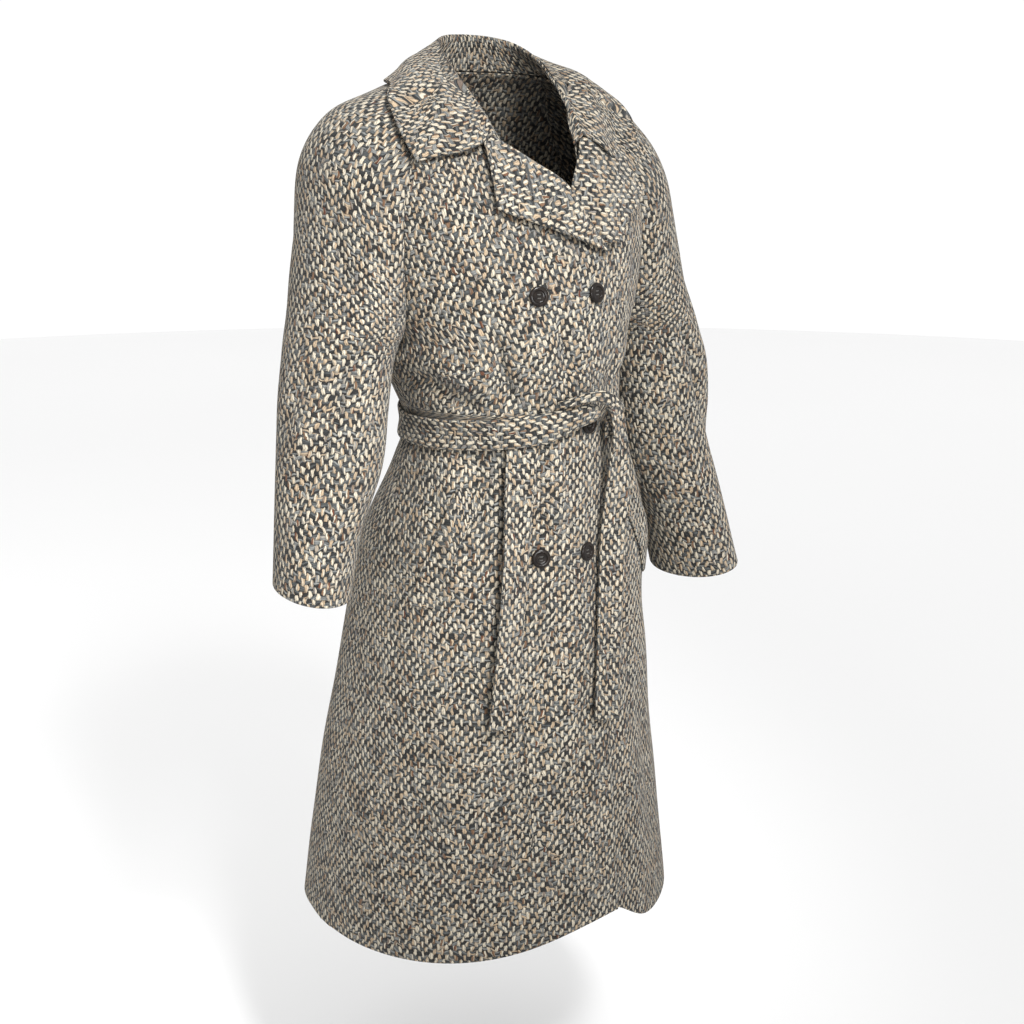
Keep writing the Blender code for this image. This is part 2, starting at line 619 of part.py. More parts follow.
def button(name, x, level):
    """Four-hole button with a rim, turned and drilled, lying on the front."""
    half = BUTTON_THICK / 2
    inside = BUTTON_RADIUS - BUTTON_RIM
    profile = ((0, half - BUTTON_DISH), (inside, half - BUTTON_DISH), (inside + BUTTON_RIM / 3, half),
               (BUTTON_RADIUS - BUTTON_RIM / 4, half - BUTTON_RIM / 6), (BUTTON_RADIUS, 0),
               (inside, -half), (0, -half))
    shape = bmesh.new()
    line = [shape.verts.new((radius, 0, height)) for radius, height in profile]
    edges = [shape.edges.new(pair) for pair in zip(line, line[1:])]
    bmesh.ops.spin(shape, geom=line + edges, axis=(0, 0, 1), cent=(0, 0, 0), steps=BUTTON_SIDES,
                   angle=2 * np.pi, use_merge=True)
    bmesh.ops.remove_doubles(shape, verts=shape.verts, dist=1e-6)
    bmesh.ops.recalc_face_normals(shape, faces=shape.faces)
    mesh = bpy.data.meshes.new(name)
    shape.to_mesh(mesh)
    shape.free()
    thing = finish(name, HORN, [v.co for v in mesh.vertices], [list(p.vertices) for p in mesh.polygons], 0.25)
    middle, out = on_front(np.array(x), np.array(level), np.array(LAYER_GAP + half))
    turned = Vector(out).to_track_quat("Z", "Y").to_matrix().to_4x4()
    thing.matrix_world = Matrix.Translation(Vector(middle)) @ turned
    cutter = drill(name)
    cutter.matrix_world = thing.matrix_world
    cut = thing.modifiers.new("holes", "BOOLEAN")
    cut.operation = "DIFFERENCE"
    cut.solver = "EXACT"
    cut.object = cutter


def drill(name):
    """Four pins that drill a button."""
    shape = bmesh.new()
    for quarter in range(4):
        turn = np.pi / 4 + quarter * np.pi / 2
        place = Matrix.Translation((BUTTON_HOLE_AT * np.cos(turn), BUTTON_HOLE_AT * np.sin(turn), 0))
        bmesh.ops.create_cone(shape, cap_ends=True, segments=8, radius1=BUTTON_HOLE, radius2=BUTTON_HOLE,
                              depth=2 * BUTTON_THICK, matrix=place)
    mesh = bpy.data.meshes.new(name + "_drill")
    shape.to_mesh(mesh)
    shape.free()
    thing = bpy.data.objects.new(name + "_drill", mesh)
    thing.hide_render = True
    thing.display_type = "WIRE"
    bpy.context.scene.collection.objects.link(thing)
    return thing


def pocket_welt(name, side):
    """Slanted welt sewn on a front, made from its points."""
    along = np.linspace(0, 1, WELT_STEPS + 1)[:, None]
    angle = np.radians(WELT_FOOT[0] + (WELT_TOP[0] - WELT_FOOT[0]) * along)
    level = WELT_FOOT[1] + (WELT_TOP[1] - WELT_FOOT[1]) * along
    half_turn = WELT_WIDTH / 2 / body_ring(level)[0]
    angle = side * (angle + np.linspace(-1, 1, 4) * half_turn)
    level = np.broadcast_to(level, angle.shape)
    out = normal_of(body, angle, level)
    points = body(angle, level) + out * (WELT_THICK + LAYER_GAP)
    sheet = Sheet(points, flipped=side == LEFT)
    normals = {key(p): n for p, n in zip(points.reshape(-1, 3), out.reshape(-1, 3))}
    cloth(name, sheet, np.array([normals[key(p)] for p in sheet.points]), WELT_THICK)


def main():
    for thing in list(bpy.data.objects):
        bpy.data.objects.remove(thing)
    panels()
    collar()
    for name, side in SIDES.items():
        lapel("lapel_" + name, side)
        pocket_welt("pocket_welt_" + name, side)
        belt_end("belt_end_" + name, side)
    belt_band()
    knot_tongue()
    for row, level, x in BUTTON_ROWS:
        for name, side in SIDES.items():
            button(f"button_{row}_{name}", side * x, level)


main()
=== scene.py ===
"""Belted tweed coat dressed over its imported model: cloth, weave, belt, buttons and a plain studio.

Metres, +Z up. The wearer faces -Y and their right side is at -X. The origin lies midway between the
shoulders, at the height of the neck seam.
"""

import bmesh
import bpy
import numpy as np
from bpy.props import FloatProperty, FloatVectorProperty, IntProperty, PointerProperty
from mathutils import Matrix, Vector


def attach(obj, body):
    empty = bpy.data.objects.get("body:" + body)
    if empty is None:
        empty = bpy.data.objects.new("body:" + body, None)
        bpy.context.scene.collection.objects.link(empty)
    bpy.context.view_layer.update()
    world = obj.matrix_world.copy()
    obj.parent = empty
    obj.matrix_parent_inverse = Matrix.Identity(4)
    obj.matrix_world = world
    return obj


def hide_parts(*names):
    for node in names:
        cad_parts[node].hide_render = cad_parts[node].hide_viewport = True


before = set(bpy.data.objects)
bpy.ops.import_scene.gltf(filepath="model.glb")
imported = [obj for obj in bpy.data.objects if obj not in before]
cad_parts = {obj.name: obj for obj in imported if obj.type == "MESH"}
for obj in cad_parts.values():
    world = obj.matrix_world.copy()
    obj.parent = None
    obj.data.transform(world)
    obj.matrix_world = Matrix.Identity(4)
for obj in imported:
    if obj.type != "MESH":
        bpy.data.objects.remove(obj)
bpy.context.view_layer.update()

bl_info = {
    "name": "Belted Tweed Coat",
    "version": (1, 0, 0),
    "blender": (4, 5, 0),
    "location": "View3D > Sidebar > Coat",
    "description": "Cloth, weave, belt and buttons of a belted tweed coat, and a studio around it",
    "category": "Object",
}

RIGHT, LEFT = -1, 1
SIDES = {"right": RIGHT, "left": LEFT}

# Cloth thickness and the room between layers
WALL = 0.003
LAYER_GAP = 0.0008

# How far a sewn edge reaches into the next piece, and its small rounding
SEAM_REACH = 0.0005
SEAM_ROUND = 0.0005

# Closing of the fronts
FRONT_EDGE = 0.065
UNDERLAP = WALL + 0.0035
UNDERLAP_FULL, UNDERLAP_NONE = 0.078, 0.125
UNDERLAP_REACH = 0.3

# Distance of a front's grain line from the middle
GRAIN_LINE = 0.07

# Shares of a panel and of a sleeve beside the seams where creases fade out
PANEL_FADE, SLEEVE_FADE = 0.12, 0.1

# Body below the underarm, one row a level
# Columns: level, half_width, front, back, centre_y
BODY = (
    (-1.122, 0.267, 0.258, 0.237, 0.026),
    (-0.900, 0.238, 0.222, 0.215, 0.012),
    (-0.700, 0.204, 0.191, 0.188, -0.002),
    (-0.573, 0.184, 0.170, 0.166, -0.011),
    (-0.470, 0.150, 0.154, 0.140, -0.022),
    (-0.420, 0.135, 0.150, 0.128, -0.026),
    (-0.375, 0.151, 0.156, 0.133, -0.024),
    (-0.325, 0.171, 0.163, 0.151, -0.021),
)
UNDERARM = -0.325
# Height over which the bend at the underarm is rounded, and by how many rows
UNDERARM_SOFT, UNDERARM_ROWS = 0.06, 5

# Sleeve from the neck (row 0) past the underarm (row 8) to the cuff (row 12).
# Each row is an arc about a centre, from the front seam over the outside to the back seam;
# wrap is how far it goes to each side, and at 180 degrees it is a closed ring.
# Columns: centre_x, centre_y, reach, front, back, wrap, z_front, z_out, z_back, twist
SLEEVE = (
    (0.0900, 0.000, 0.0200, 0.035, 0.045, 90, 0.000, 0.008, 0.015, 0),
    (0.1150, 0.004, 0.0440, 0.054, 0.058, 92, -0.020, -0.006, 0.000, 0),
    (0.1390, 0.009, 0.0700, 0.076, 0.074, 93, -0.050, -0.024, -0.030, 0),
    (0.1640, 0.010, 0.0740, 0.090, 0.086, 95, -0.085, -0.050, -0.065, 0),
    (0.1830, 0.008, 0.0745, 0.096, 0.096, 98, -0.130, -0.086, -0.110, 0),
    (0.1940, 0.003, 0.0735, 0.094, 0.102, 104, -0.180, -0.134, -0.165, 0),
    (0.2050, -0.004, 0.0740, 0.087, 0.098, 116, -0.240, -0.197, -0.225, 0),
    (0.2200, -0.015, 0.0715, 0.078, 0.088, 140, -0.290, -0.262, -0.290, 0),
    (0.2350, -0.021, 0.0690, 0.072, 0.080, 180, -0.325, -0.315, -0.325, 0),
    (0.2470, -0.026, 0.0690, 0.067, 0.072, 180, -0.390, -0.375, -0.390, 6),
    (0.2580, -0.033, 0.0660, 0.064, 0.066, 180, -0.460, -0.443, -0.460, 14),
    (0.2810, -0.045, 0.0540, 0.064, 0.064, 180, -0.540, -0.520, -0.540, 22),
    (0.2970, -0.058, 0.0480, 0.066, 0.066, 180, -0.620, -0.597, -0.620, 28),
)
SHOULDER_SHIFT = {RIGHT: (0.0, 0.0, 0.0), LEFT: (-0.004, 0.0, -0.016)}
CUFF_SHIFT = {RIGHT: (0.0, 0.0, 0.0), LEFT: (-0.009, -0.018, -0.045)}

# Middle of the chest and of the back at the same rows, and how far the panel has turned at its seam
# Columns: middle_y, middle_z, turn
CHEST = (
    (-0.112, -0.072, 42), (-0.128, -0.090, 42), (-0.142, -0.112, 45),
    (-0.153, -0.138, 48), (-0.164, -0.172, 52), (-0.174, -0.210, 56),
    (-0.181, -0.252, 62), (-0.184, -0.290, 74), (-0.184, -0.325, 90),
)
SPINE = (
    (0.080, 0.020, 50), (0.099, -0.008, 50), (0.114, -0.043, 50),
    (0.125, -0.080, 50), (0.131, -0.122, 52), (0.134, -0.172, 56),
    (0.134, -0.227, 62), (0.132, -0.282, 74), (0.130, -0.325, 90),
)

# Inner edge of each front, from the front edge up to the neck
# Columns: level, past_middle
EDGE = {
    RIGHT: ((-0.250, 0.065), (-0.196, 0.065), (-0.178, 0.053), (-0.120, 0.0193),
            (-0.100, -0.0075), (-0.083, -0.0335), (-0.060, -0.062), (-0.030, -0.064)),
    LEFT: ((-0.250, 0.065), (-0.180, 0.010), (-0.120, -0.034), (-0.085, -0.055),
           (-0.045, -0.068), (-0.030, -0.069)),
}

# Hem lifted beside the front edge
HEM_LIFT, HEM_LIFT_AT = 0.045, 0.06
HEM_LIFT_WIDTH = {"towards_right": 0.17, "towards_left": 0.05}
HEM_LIFT_FROM = -0.70

# Folds below the underarm: angle from the front in degrees, heights, width and height in metres
# Columns: angle_top, angle_foot, top, foot, width, rise
FOLDS = (
    (-62, -50, -0.44, -0.80, 0.035, 0.006),
    (-18, -12, -0.45, -0.90, 0.040, -0.007),
    (22, 18, -0.46, -0.95, 0.035, -0.006),
    (58, 52, -0.45, -0.90, 0.040, 0.006),
    (-115, -112, -0.45, -1.122, 0.060, 0.008),
    (-165, -160, -0.45, -1.122, 0.060, 0.008),
    (150, 152, -0.45, -1.122, 0.060, 0.008),
    (108, 105, -0.45, -1.122, 0.060, 0.008),
    (76, 72, -0.345, -0.70, 0.060, 0.019),
    (-40, -22, -0.30, -0.41, 0.030, -0.005),
    (38, 25, -0.31, -0.41, 0.030, -0.005),
)

# Collar stations from the front end to the back: row and place at the neck, at the outer edge, and
# the fold. A place is 0 to 1 over the front, to 3 over the sleeve and to 4 at the middle of the back.
# Columns: row_neck, place_neck, row_edge, place_edge, fold_x, fold_y, fold_z
COLLAR = (
    (0.70, 0.45, 3.20, 1.00, 0.060, -0.110, -0.061),
    (0.00, 0.63, 2.45, 1.22, 0.062, -0.076, -0.028),
    (0.00, 1.00, 1.60, 1.50, 0.064, -0.034, 0.003),
    (0.00, 2.00, 0.75, 2.00, 0.063, 0.010, 0.034),
    (0.00, 3.00, 0.90, 2.80, 0.052, 0.046, 0.053),
    (0.00, 3.50, 1.60, 3.40, 0.030, 0.066, 0.061),
    (0.00, 4.00, 1.90, 4.00, 0.000, 0.074, 0.063),
)
COLLAR_LIFT = {"fold": 0.008, "edge": 0.0015}
STAND_STEPS = (0.5, 0.88)
FALL_STEPS = (0.25, 0.5, 0.75, 1.0)
FALL_SPREAD, FALL_DROP = 0.75, 3.4
# Where between neck and edge the weave is true in size
FALL_MIDDLE = 0.62
# Share of the way to the back over which the loose edge comes to lie flat
LOOSE_UNTIL = (0.25, 0.5)
FOLD_OUT, FOLD_UP, FOLD_TURNED = 0.0045, 0.0035, 0.011

# Lapels: roll line and outer edge in width and height, listed from the break point to the gorge
# Columns: roll_x, roll_z, edge_x, edge_z
LAPEL = {
    RIGHT: ((0.0640, -0.1950, 0.0600, -0.1970), (0.0480, -0.1700, 0.0120, -0.1810),
            (0.0193, -0.1200, -0.0800, -0.1480), (-0.0180, -0.0930, -0.0780, -0.1080),
            (-0.0600, -0.0640, -0.0755, -0.0700)),
    LEFT: ((0.0600, -0.1920, 0.0760, -0.1890), (0.0380, -0.1680, 0.1120, -0.1580),
           (0.0270, -0.1260, 0.1580, -0.1310), (0.0470, -0.0900, 0.1310, -0.0990),
           (0.0620, -0.0600, 0.1060, -0.0760)),
}
LAPEL_LIFT = 0.0012
LAPEL_ROLL = 0.004
# How far the roll sinks into the front it turns out of, and the left one more where it goes under
ROLL_SUNK, LEFT_ROLL_SUNK = 0.0027, 0.0083
# Share of a lapel's width that sinks, the rows where the left one rises again, rounding of its corners
SUNK_WIDTH, LEFT_ROLL_RISES, LAPEL_CORNER = 0.4, (2.6, 3.6), 0.8

# Turn of the weave on the chest, and on the lapels
CHEST_TILT = {RIGHT: np.radians(15), LEFT: np.radians(4)}
LAPEL_TILT = {RIGHT: np.radians(-16), LEFT: np.radians(4)}

# Thickness of doubled cloth, and how far the loose edge of a lapel or the collar stands off
DOUBLED = 0.0042
LOOSE_EDGE = 0.0065

# Belt: a band at the waist, a half-knot left of the middle and two hanging ends
BELT_WIDTH = 0.042
BELT_THICK = 0.004
BELT_LIFT = 0.0015
BELT_LIFT_FRONT = 0.0075
BELT_FRONT_ANGLE = 48.0
BELT_LEVEL = {"front": -0.403, "side": -0.424}
BELT_GAP_ANGLES = (-8.5, 25.0)
KNOT_CROWN = 0.006
BELT_PADDING = 0.002
BELT_ROWS, BELT_COLUMNS, TONGUE_ROWS, BELT_END_ROWS = 260, 13, 30, 120
# Columns: x, level, lift, width
KNOT_TONGUE = (
    (-0.0185, -0.4060, 0.0090, 0.039), (-0.0050, -0.4020, 0.0100, 0.036),
    (0.0100, -0.3970, 0.0120, 0.032), (0.0240, -0.3940, 0.0140, 0.029),
    (0.0340, -0.3935, 0.0145, 0.026), (0.0400, -0.3940, 0.0130, 0.020),
)
# Columns: x, level, lift, width, lean in degrees
BELT_END = {
    LEFT: ((-0.0180, -0.3790, 0.0070, 0.008, 0), (-0.0020, -0.3745, 0.0140, 0.011, 0),
           (0.0160, -0.3695, 0.0190, 0.013, 0), (0.0340, -0.3700, 0.0230, 0.016, 0),
           (0.0490, -0.3820, 0.0250, 0.021, 4), (0.0600, -0.4050, 0.0250, 0.024, 8),
           (0.0680, -0.4350, 0.0230, 0.029, 14), (0.0715, -0.4700, 0.0200, 0.035, 20),
           (0.0700, -0.5400, 0.0165, 0.038, 22), (0.0640, -0.6200, 0.0140, 0.039, 22),
           (0.0550, -0.7200, 0.0110, 0.039, 20), (0.0470, -0.8120, 0.0100, 0.039, 18)),
    RIGHT: ((-0.0540, -0.4280, 0.0015, 0.040, 0), (-0.0590, -0.4700, 0.0060, 0.040, -10),
            (-0.0700, -0.5800, 0.0105, 0.040, -20), (-0.0830, -0.6900, 0.0110, 0.040, -20),
            (-0.0950, -0.7960, 0.0100, 0.040, -14)),
}

# Buttons in three rows of two
BUTTON_RADIUS = 0.0125
BUTTON_THICK = 0.0045
BUTTON_DISH = 0.0020
BUTTON_HOLE, BUTTON_HOLE_AT = 0.0011, 0.0032
# Columns: row, level, distance from the middle
BUTTON_ROWS = (("top", -0.247, 0.041), ("middle", -0.411, 0.037), ("bottom", -0.577, 0.034))

# Thread through a button's holes: its radius, the room between two turns, and its rise over the dish
THREAD_RADIUS, THREAD_APART, THREAD_RISE = 0.00034, 0.00035, 0.0005

# Worked buttonholes: ends beside the button, lift, and radius of slit, stitches and bars
HOLE_ENDS, HOLE_LIFT = (-0.024, 0.004), 0.0002
LAPEL_HOLE = ((-0.036, -0.098), (-0.037, -0.132))
SLIT_RADIUS, STITCH_RADIUS, BAR_RADIUS = 0.0008, 0.00042, 0.0005
STITCH_ARCH = (0.0004, 0.0007, 0.0006, -0.0006)
SLIT_HALF, BAR_OUT, BAR_LIFT = 0.0005, 0.0006, 0.0004

# Slanted pocket welts at the hips: angle from the front and height of the two ends
WELT_WIDTH, WELT_THICK = 0.038, 0.003
WELT_FOOT, WELT_TOP = (58.5, -0.640), (44.0, -0.485)
WELT_ROWS, WELT_COLUMNS = 48, 14

# Ovals of the weave in shares of the yarns' spacing; pairs are a least value and what chance adds
WARP_LEAN_CHANCE = 0.5
WARP_HALF_WIDTH, WARP_HALF_LENGTH = (0.35, 0.13), (0.52, 0.25)
WEFT_LEAN, WEFT_HALF_WIDTH, WEFT_HALF_LENGTH = (-0.30, 0.8), 0.46, 0.72
WARP_STRANDS, WEFT_STRANDS = 2.0, 2.6
WARP_SLIP, WEFT_SLIP = 0.42, 0.3
WEFT_HEIGHT = 0.6
# How fine the yarns' straying, their fibres and the cloth's patches are, in waves a metre
WANDER_SCALE, JITTER_SCALE, PATCH_SCALE = 45.0, 170.0, 14.0
FIBRES_ACROSS, FIBRES_ALONG = 2300.0, 520.0
# Painted shade: light left in the grooves between strands and on the wrong side; and height of the
# relief
GROOVE_SHADE, INSIDE_SHADE, RELIEF_HEIGHT = 0.45, 0.75, 0.0012

# Lights: where they hang and what they are aimed at
LIGHT_SIZE = 0.5
KEY_SPOT, KEY_AIM = (-0.15, -1.80, 1.25), (-0.25, -0.10, -0.34)
FILL_SPOT, FILL_AIM = (-0.40, -1.90, -0.30), (-0.14, -0.12, -0.50)


def curve(at, rows, x):
    """Smooth curve through the rows of a table, placed at `at`, read at each x."""
    at = np.asarray(at, float)
    rows = np.asarray(rows, float)
    x = np.asarray(x, float)
    slope = np.gradient(rows, at, axis=0)
    i = np.clip(np.searchsorted(at, x, side="right") - 1, 0, len(at) - 2)
    step = at[i + 1] - at[i]
    f = ((x - at[i]) / step)[..., None]
    step = step[..., None]
    start = (1 + 2 * f) * (1 - f) ** 2 * rows[i] + f * (1 - f) ** 2 * step * slope[i]
    end = f * f * (3 - 2 * f) * rows[i + 1] + f * f * (f - 1) * step * slope[i + 1]
    return start + end


def ease(x, start, end):
    """0 at start, 1 at end, smooth between."""
    f = np.clip((np.asarray(x, float) - start) / (end - start), 0, 1)
    return f * f * (3 - 2 * f)


def points_of(*parts):
    """Coordinates joined into points."""
    return np.stack(np.broadcast_arrays(*parts), axis=-1)


def body_ring(level):
    """Half width, front depth, back depth and centre of the body at a level."""
    table = np.array(BODY)
    return np.moveaxis(curve(table[:, 0], table[:, 1:], level), -1, 0)


def fold_rise(angle, level, half_width):
    """How far the folds push the cloth out."""
    rise = np.zeros(np.broadcast(angle, level).shape)
    for angle_top, angle_foot, top, foot, width, height in FOLDS:
        down = np.clip((top - level) / (top - foot), 0, 1)
        middle = np.radians(angle_top + (angle_foot - angle_top) * down)
        turned = (angle - middle + np.pi) % (2 * np.pi) - np.pi
        across = turned * half_width / width
        fade_out = 1 if foot <= BODY[0][0] else 1 - ease(down, 0.6, 1)
        rise = rise + height * np.exp(-across ** 2) * ease(down, 0, 0.25) * fade_out
    return rise


def hem_lift(x, y):
    """How far the hem lies above its level, beside the front edge only."""
    towards = np.where(x < HEM_LIFT_AT, HEM_LIFT_WIDTH["towards_right"], HEM_LIFT_WIDTH["towards_left"])
    return HEM_LIFT * np.exp(-((x - HEM_LIFT_AT) / towards) ** 2) * (y < 0)


def body(angle, level):
    """Point of the body below the underarm; the angle is 0 at the front, positive to the left."""
    half_width, front, back, centre_y = body_ring(level)
    depth = np.where(np.cos(angle) > 0, front, back)
    rise = fold_rise(angle, level, half_width)
    x = (half_width + rise) * np.sin(angle)
    y = centre_y - (depth + rise) * np.cos(angle)
    z = level + hem_lift(x, y) * ease(level, HEM_LIFT_FROM, BODY[0][0])
    return points_of(x, y, z)


def arm(row, place, side):
    """Point of a sleeve; the place runs from -1 at the front seam over 0 outside to 1 at the back."""
    values = curve(np.arange(len(SLEEVE)), SLEEVE, row)
    columns = np.moveaxis(values, -1, 0)
    centre_x, centre_y, reach, front, back, wrap, z_front, z_out, z_back, twist = columns
    angle = np.radians(np.minimum(wrap, 180)) * np.abs(place)
    depth = np.where(place < 0, -front, back)
    out, fore = reach * np.cos(angle), depth * np.sin(angle)
    turn = np.radians(twist)
    x = centre_x + out * np.cos(turn) - fore * np.sin(turn)
    y = centre_y + out * np.sin(turn) + fore * np.cos(turn)
    z_end = np.where(place < 0, z_front, z_back)
    z = z_out + (z_end - z_out) * np.sin(np.abs(place) * np.pi / 2) ** 2
    at_shoulder = ease(row, 0.5, 2.5) * (1 - ease(row, 5, 8))
    at_cuff = ease(row, 8, 11)
    shift = at_shoulder[..., None] * SHOULDER_SHIFT[side] + at_cuff[..., None] * CUFF_SHIFT[side]
    return points_of(x, y, z) * (side, 1, 1) + shift


def middle_out(row, place, table, seam):
    """Point of the chest or back above the underarm, from the middle (0) to a seam (1 or -1)."""
    middle_y, middle_z, turn = np.moveaxis(curve(np.arange(len(table)), table, row), -1, 0)
    turn = np.radians(turn)
    away = np.abs(place)
    x = seam[..., 0] * np.sin(turn * away) / np.sin(turn)
    y = middle_y + (seam[..., 1] - middle_y) * (1 - np.cos(turn * away)) / (1 - np.cos(turn))
    z = middle_z + (seam[..., 2] - middle_z) * away ** 2
    return points_of(x, y, z)


def panel(row, place, table, seam):
    """Point of the chest or back; the place is -1 at the right seam, 0 midway and 1 at the left seam."""
    place = np.asarray(place, float)
    seam = np.full(np.shape(row), seam)
    right, left = (middle_out(row, place, table, arm(row, seam, side)) for side in (RIGHT, LEFT))
    return np.where((place < 0)[..., None], right, left)


def chest(row, place):
    """Point of the chest, between the front seams of the sleeves."""
    return panel(row, place, CHEST, -1.0)


def spine(row, place):
    """Point of the back above the underarm, between the back seams of the sleeves."""
    return panel(row, place, SPINE, 1.0)


def chest_place(row, x):
    """Place across the chest at which a row has the given x."""
    seam = arm(row, np.full(np.shape(row), -1.0), LEFT)[..., 0]
    turn = np.radians(curve(np.arange(len(CHEST)), CHEST, row)[..., 2])
    return np.arcsin(np.clip(x * np.sin(turn) / seam, -1, 1)) / turn


def front(x, level):
    """Point of the front at a width and a height."""
    x, level = np.broadcast_arrays(np.asarray(x, float), np.asarray(level, float))
    low, high = np.zeros(x.shape), np.full(x.shape, 8.0)
    for _ in range(30):
        row = (low + high) / 2
        above = chest(row, chest_place(row, x))[..., 2] > level
        low, high = np.where(above, row, low), np.where(above, high, row)
    upper = chest(low, chest_place(low, x))
    lower_level = np.minimum(level, UNDERARM)
    half_width = body_ring(lower_level)[0]
    lower = body(np.arcsin(np.clip(x / half_width, -1, 1)), lower_level)
    return np.where((level > UNDERARM)[..., None], upper, lower)


def unit(vectors):
    """Vectors scaled to length one."""
    return vectors / np.maximum(np.linalg.norm(vectors, axis=-1, keepdims=True), 1e-12)


def normal_of(surface, a, b, step=1e-4):
    """Direction across a surface of two values."""
    along_a = surface(a + step, b) - surface(a - step, b)
    along_b = surface(a, b + step) - surface(a, b - step)
    return unit(np.cross(along_a, along_b))


def on_front(x, level, lift):
    """Point lifted off the front, and the direction it is lifted in."""
    x, level = np.broadcast_arrays(np.asarray(x, float), np.asarray(level, float))
    out = normal_of(front, x, level, 1e-3)
    return front(x, level) + out * np.asarray(lift)[..., None], out


def edge_place(row, side):
    """Place across the chest of a front's inner edge."""
    table = np.array(EDGE[side])
    x = np.zeros(np.shape(row))
    for _ in range(40):
        level = chest(row, chest_place(row, x))[..., 2]
        past = np.interp(level, table[:, 0], table[:, 1])
        x = 0.5 * x - 0.5 * side * past
    return chest_place(row, x)


def cape(row, place, side):
    """Point above the underarm; the place is 0 to 1 in front, to 3 over the sleeve, to 4 behind."""
    on_chest = chest(row, side * np.clip(place, 0, 1))
    on_arm = arm(row, np.clip(place - 2, -1, 1), side)
    on_back = spine(row, side * np.clip(4 - place, 0, 1))
    place = place[..., None]
    return np.where(place < 1, on_chest, np.where(place < 3, on_arm, on_back))


def cape_out(row, place, side):
    """Direction away from the cloth above the underarm."""
    step = 0.02
    place = np.clip(place, step, 4 - step)
    place = np.where(np.abs(place - 1) < step, 1 + step, place)
    row = np.maximum(row, step)
    along_row = cape(row + step, place, side) - cape(row - step, place, side)
    along_place = cape(row, place + step, side) - cape(row, place - step, side)
    return unit(np.cross(along_row, along_place)) * side


# How sharp creases are across: valleys are sharper than ridges
VALLEY_POWER, RIDGE_POWER = 1.3, 2

# Slight waves all over the cloth
# Columns: turns a metre across and down in radians, start
WAVES = (
    (17.0, 9.0, 0.3), (-11.0, 23.0, 1.7), (31.0, 14.0, 4.1), (8.0, -37.0, 2.6), (43.0, 29.0, 5.2),
)

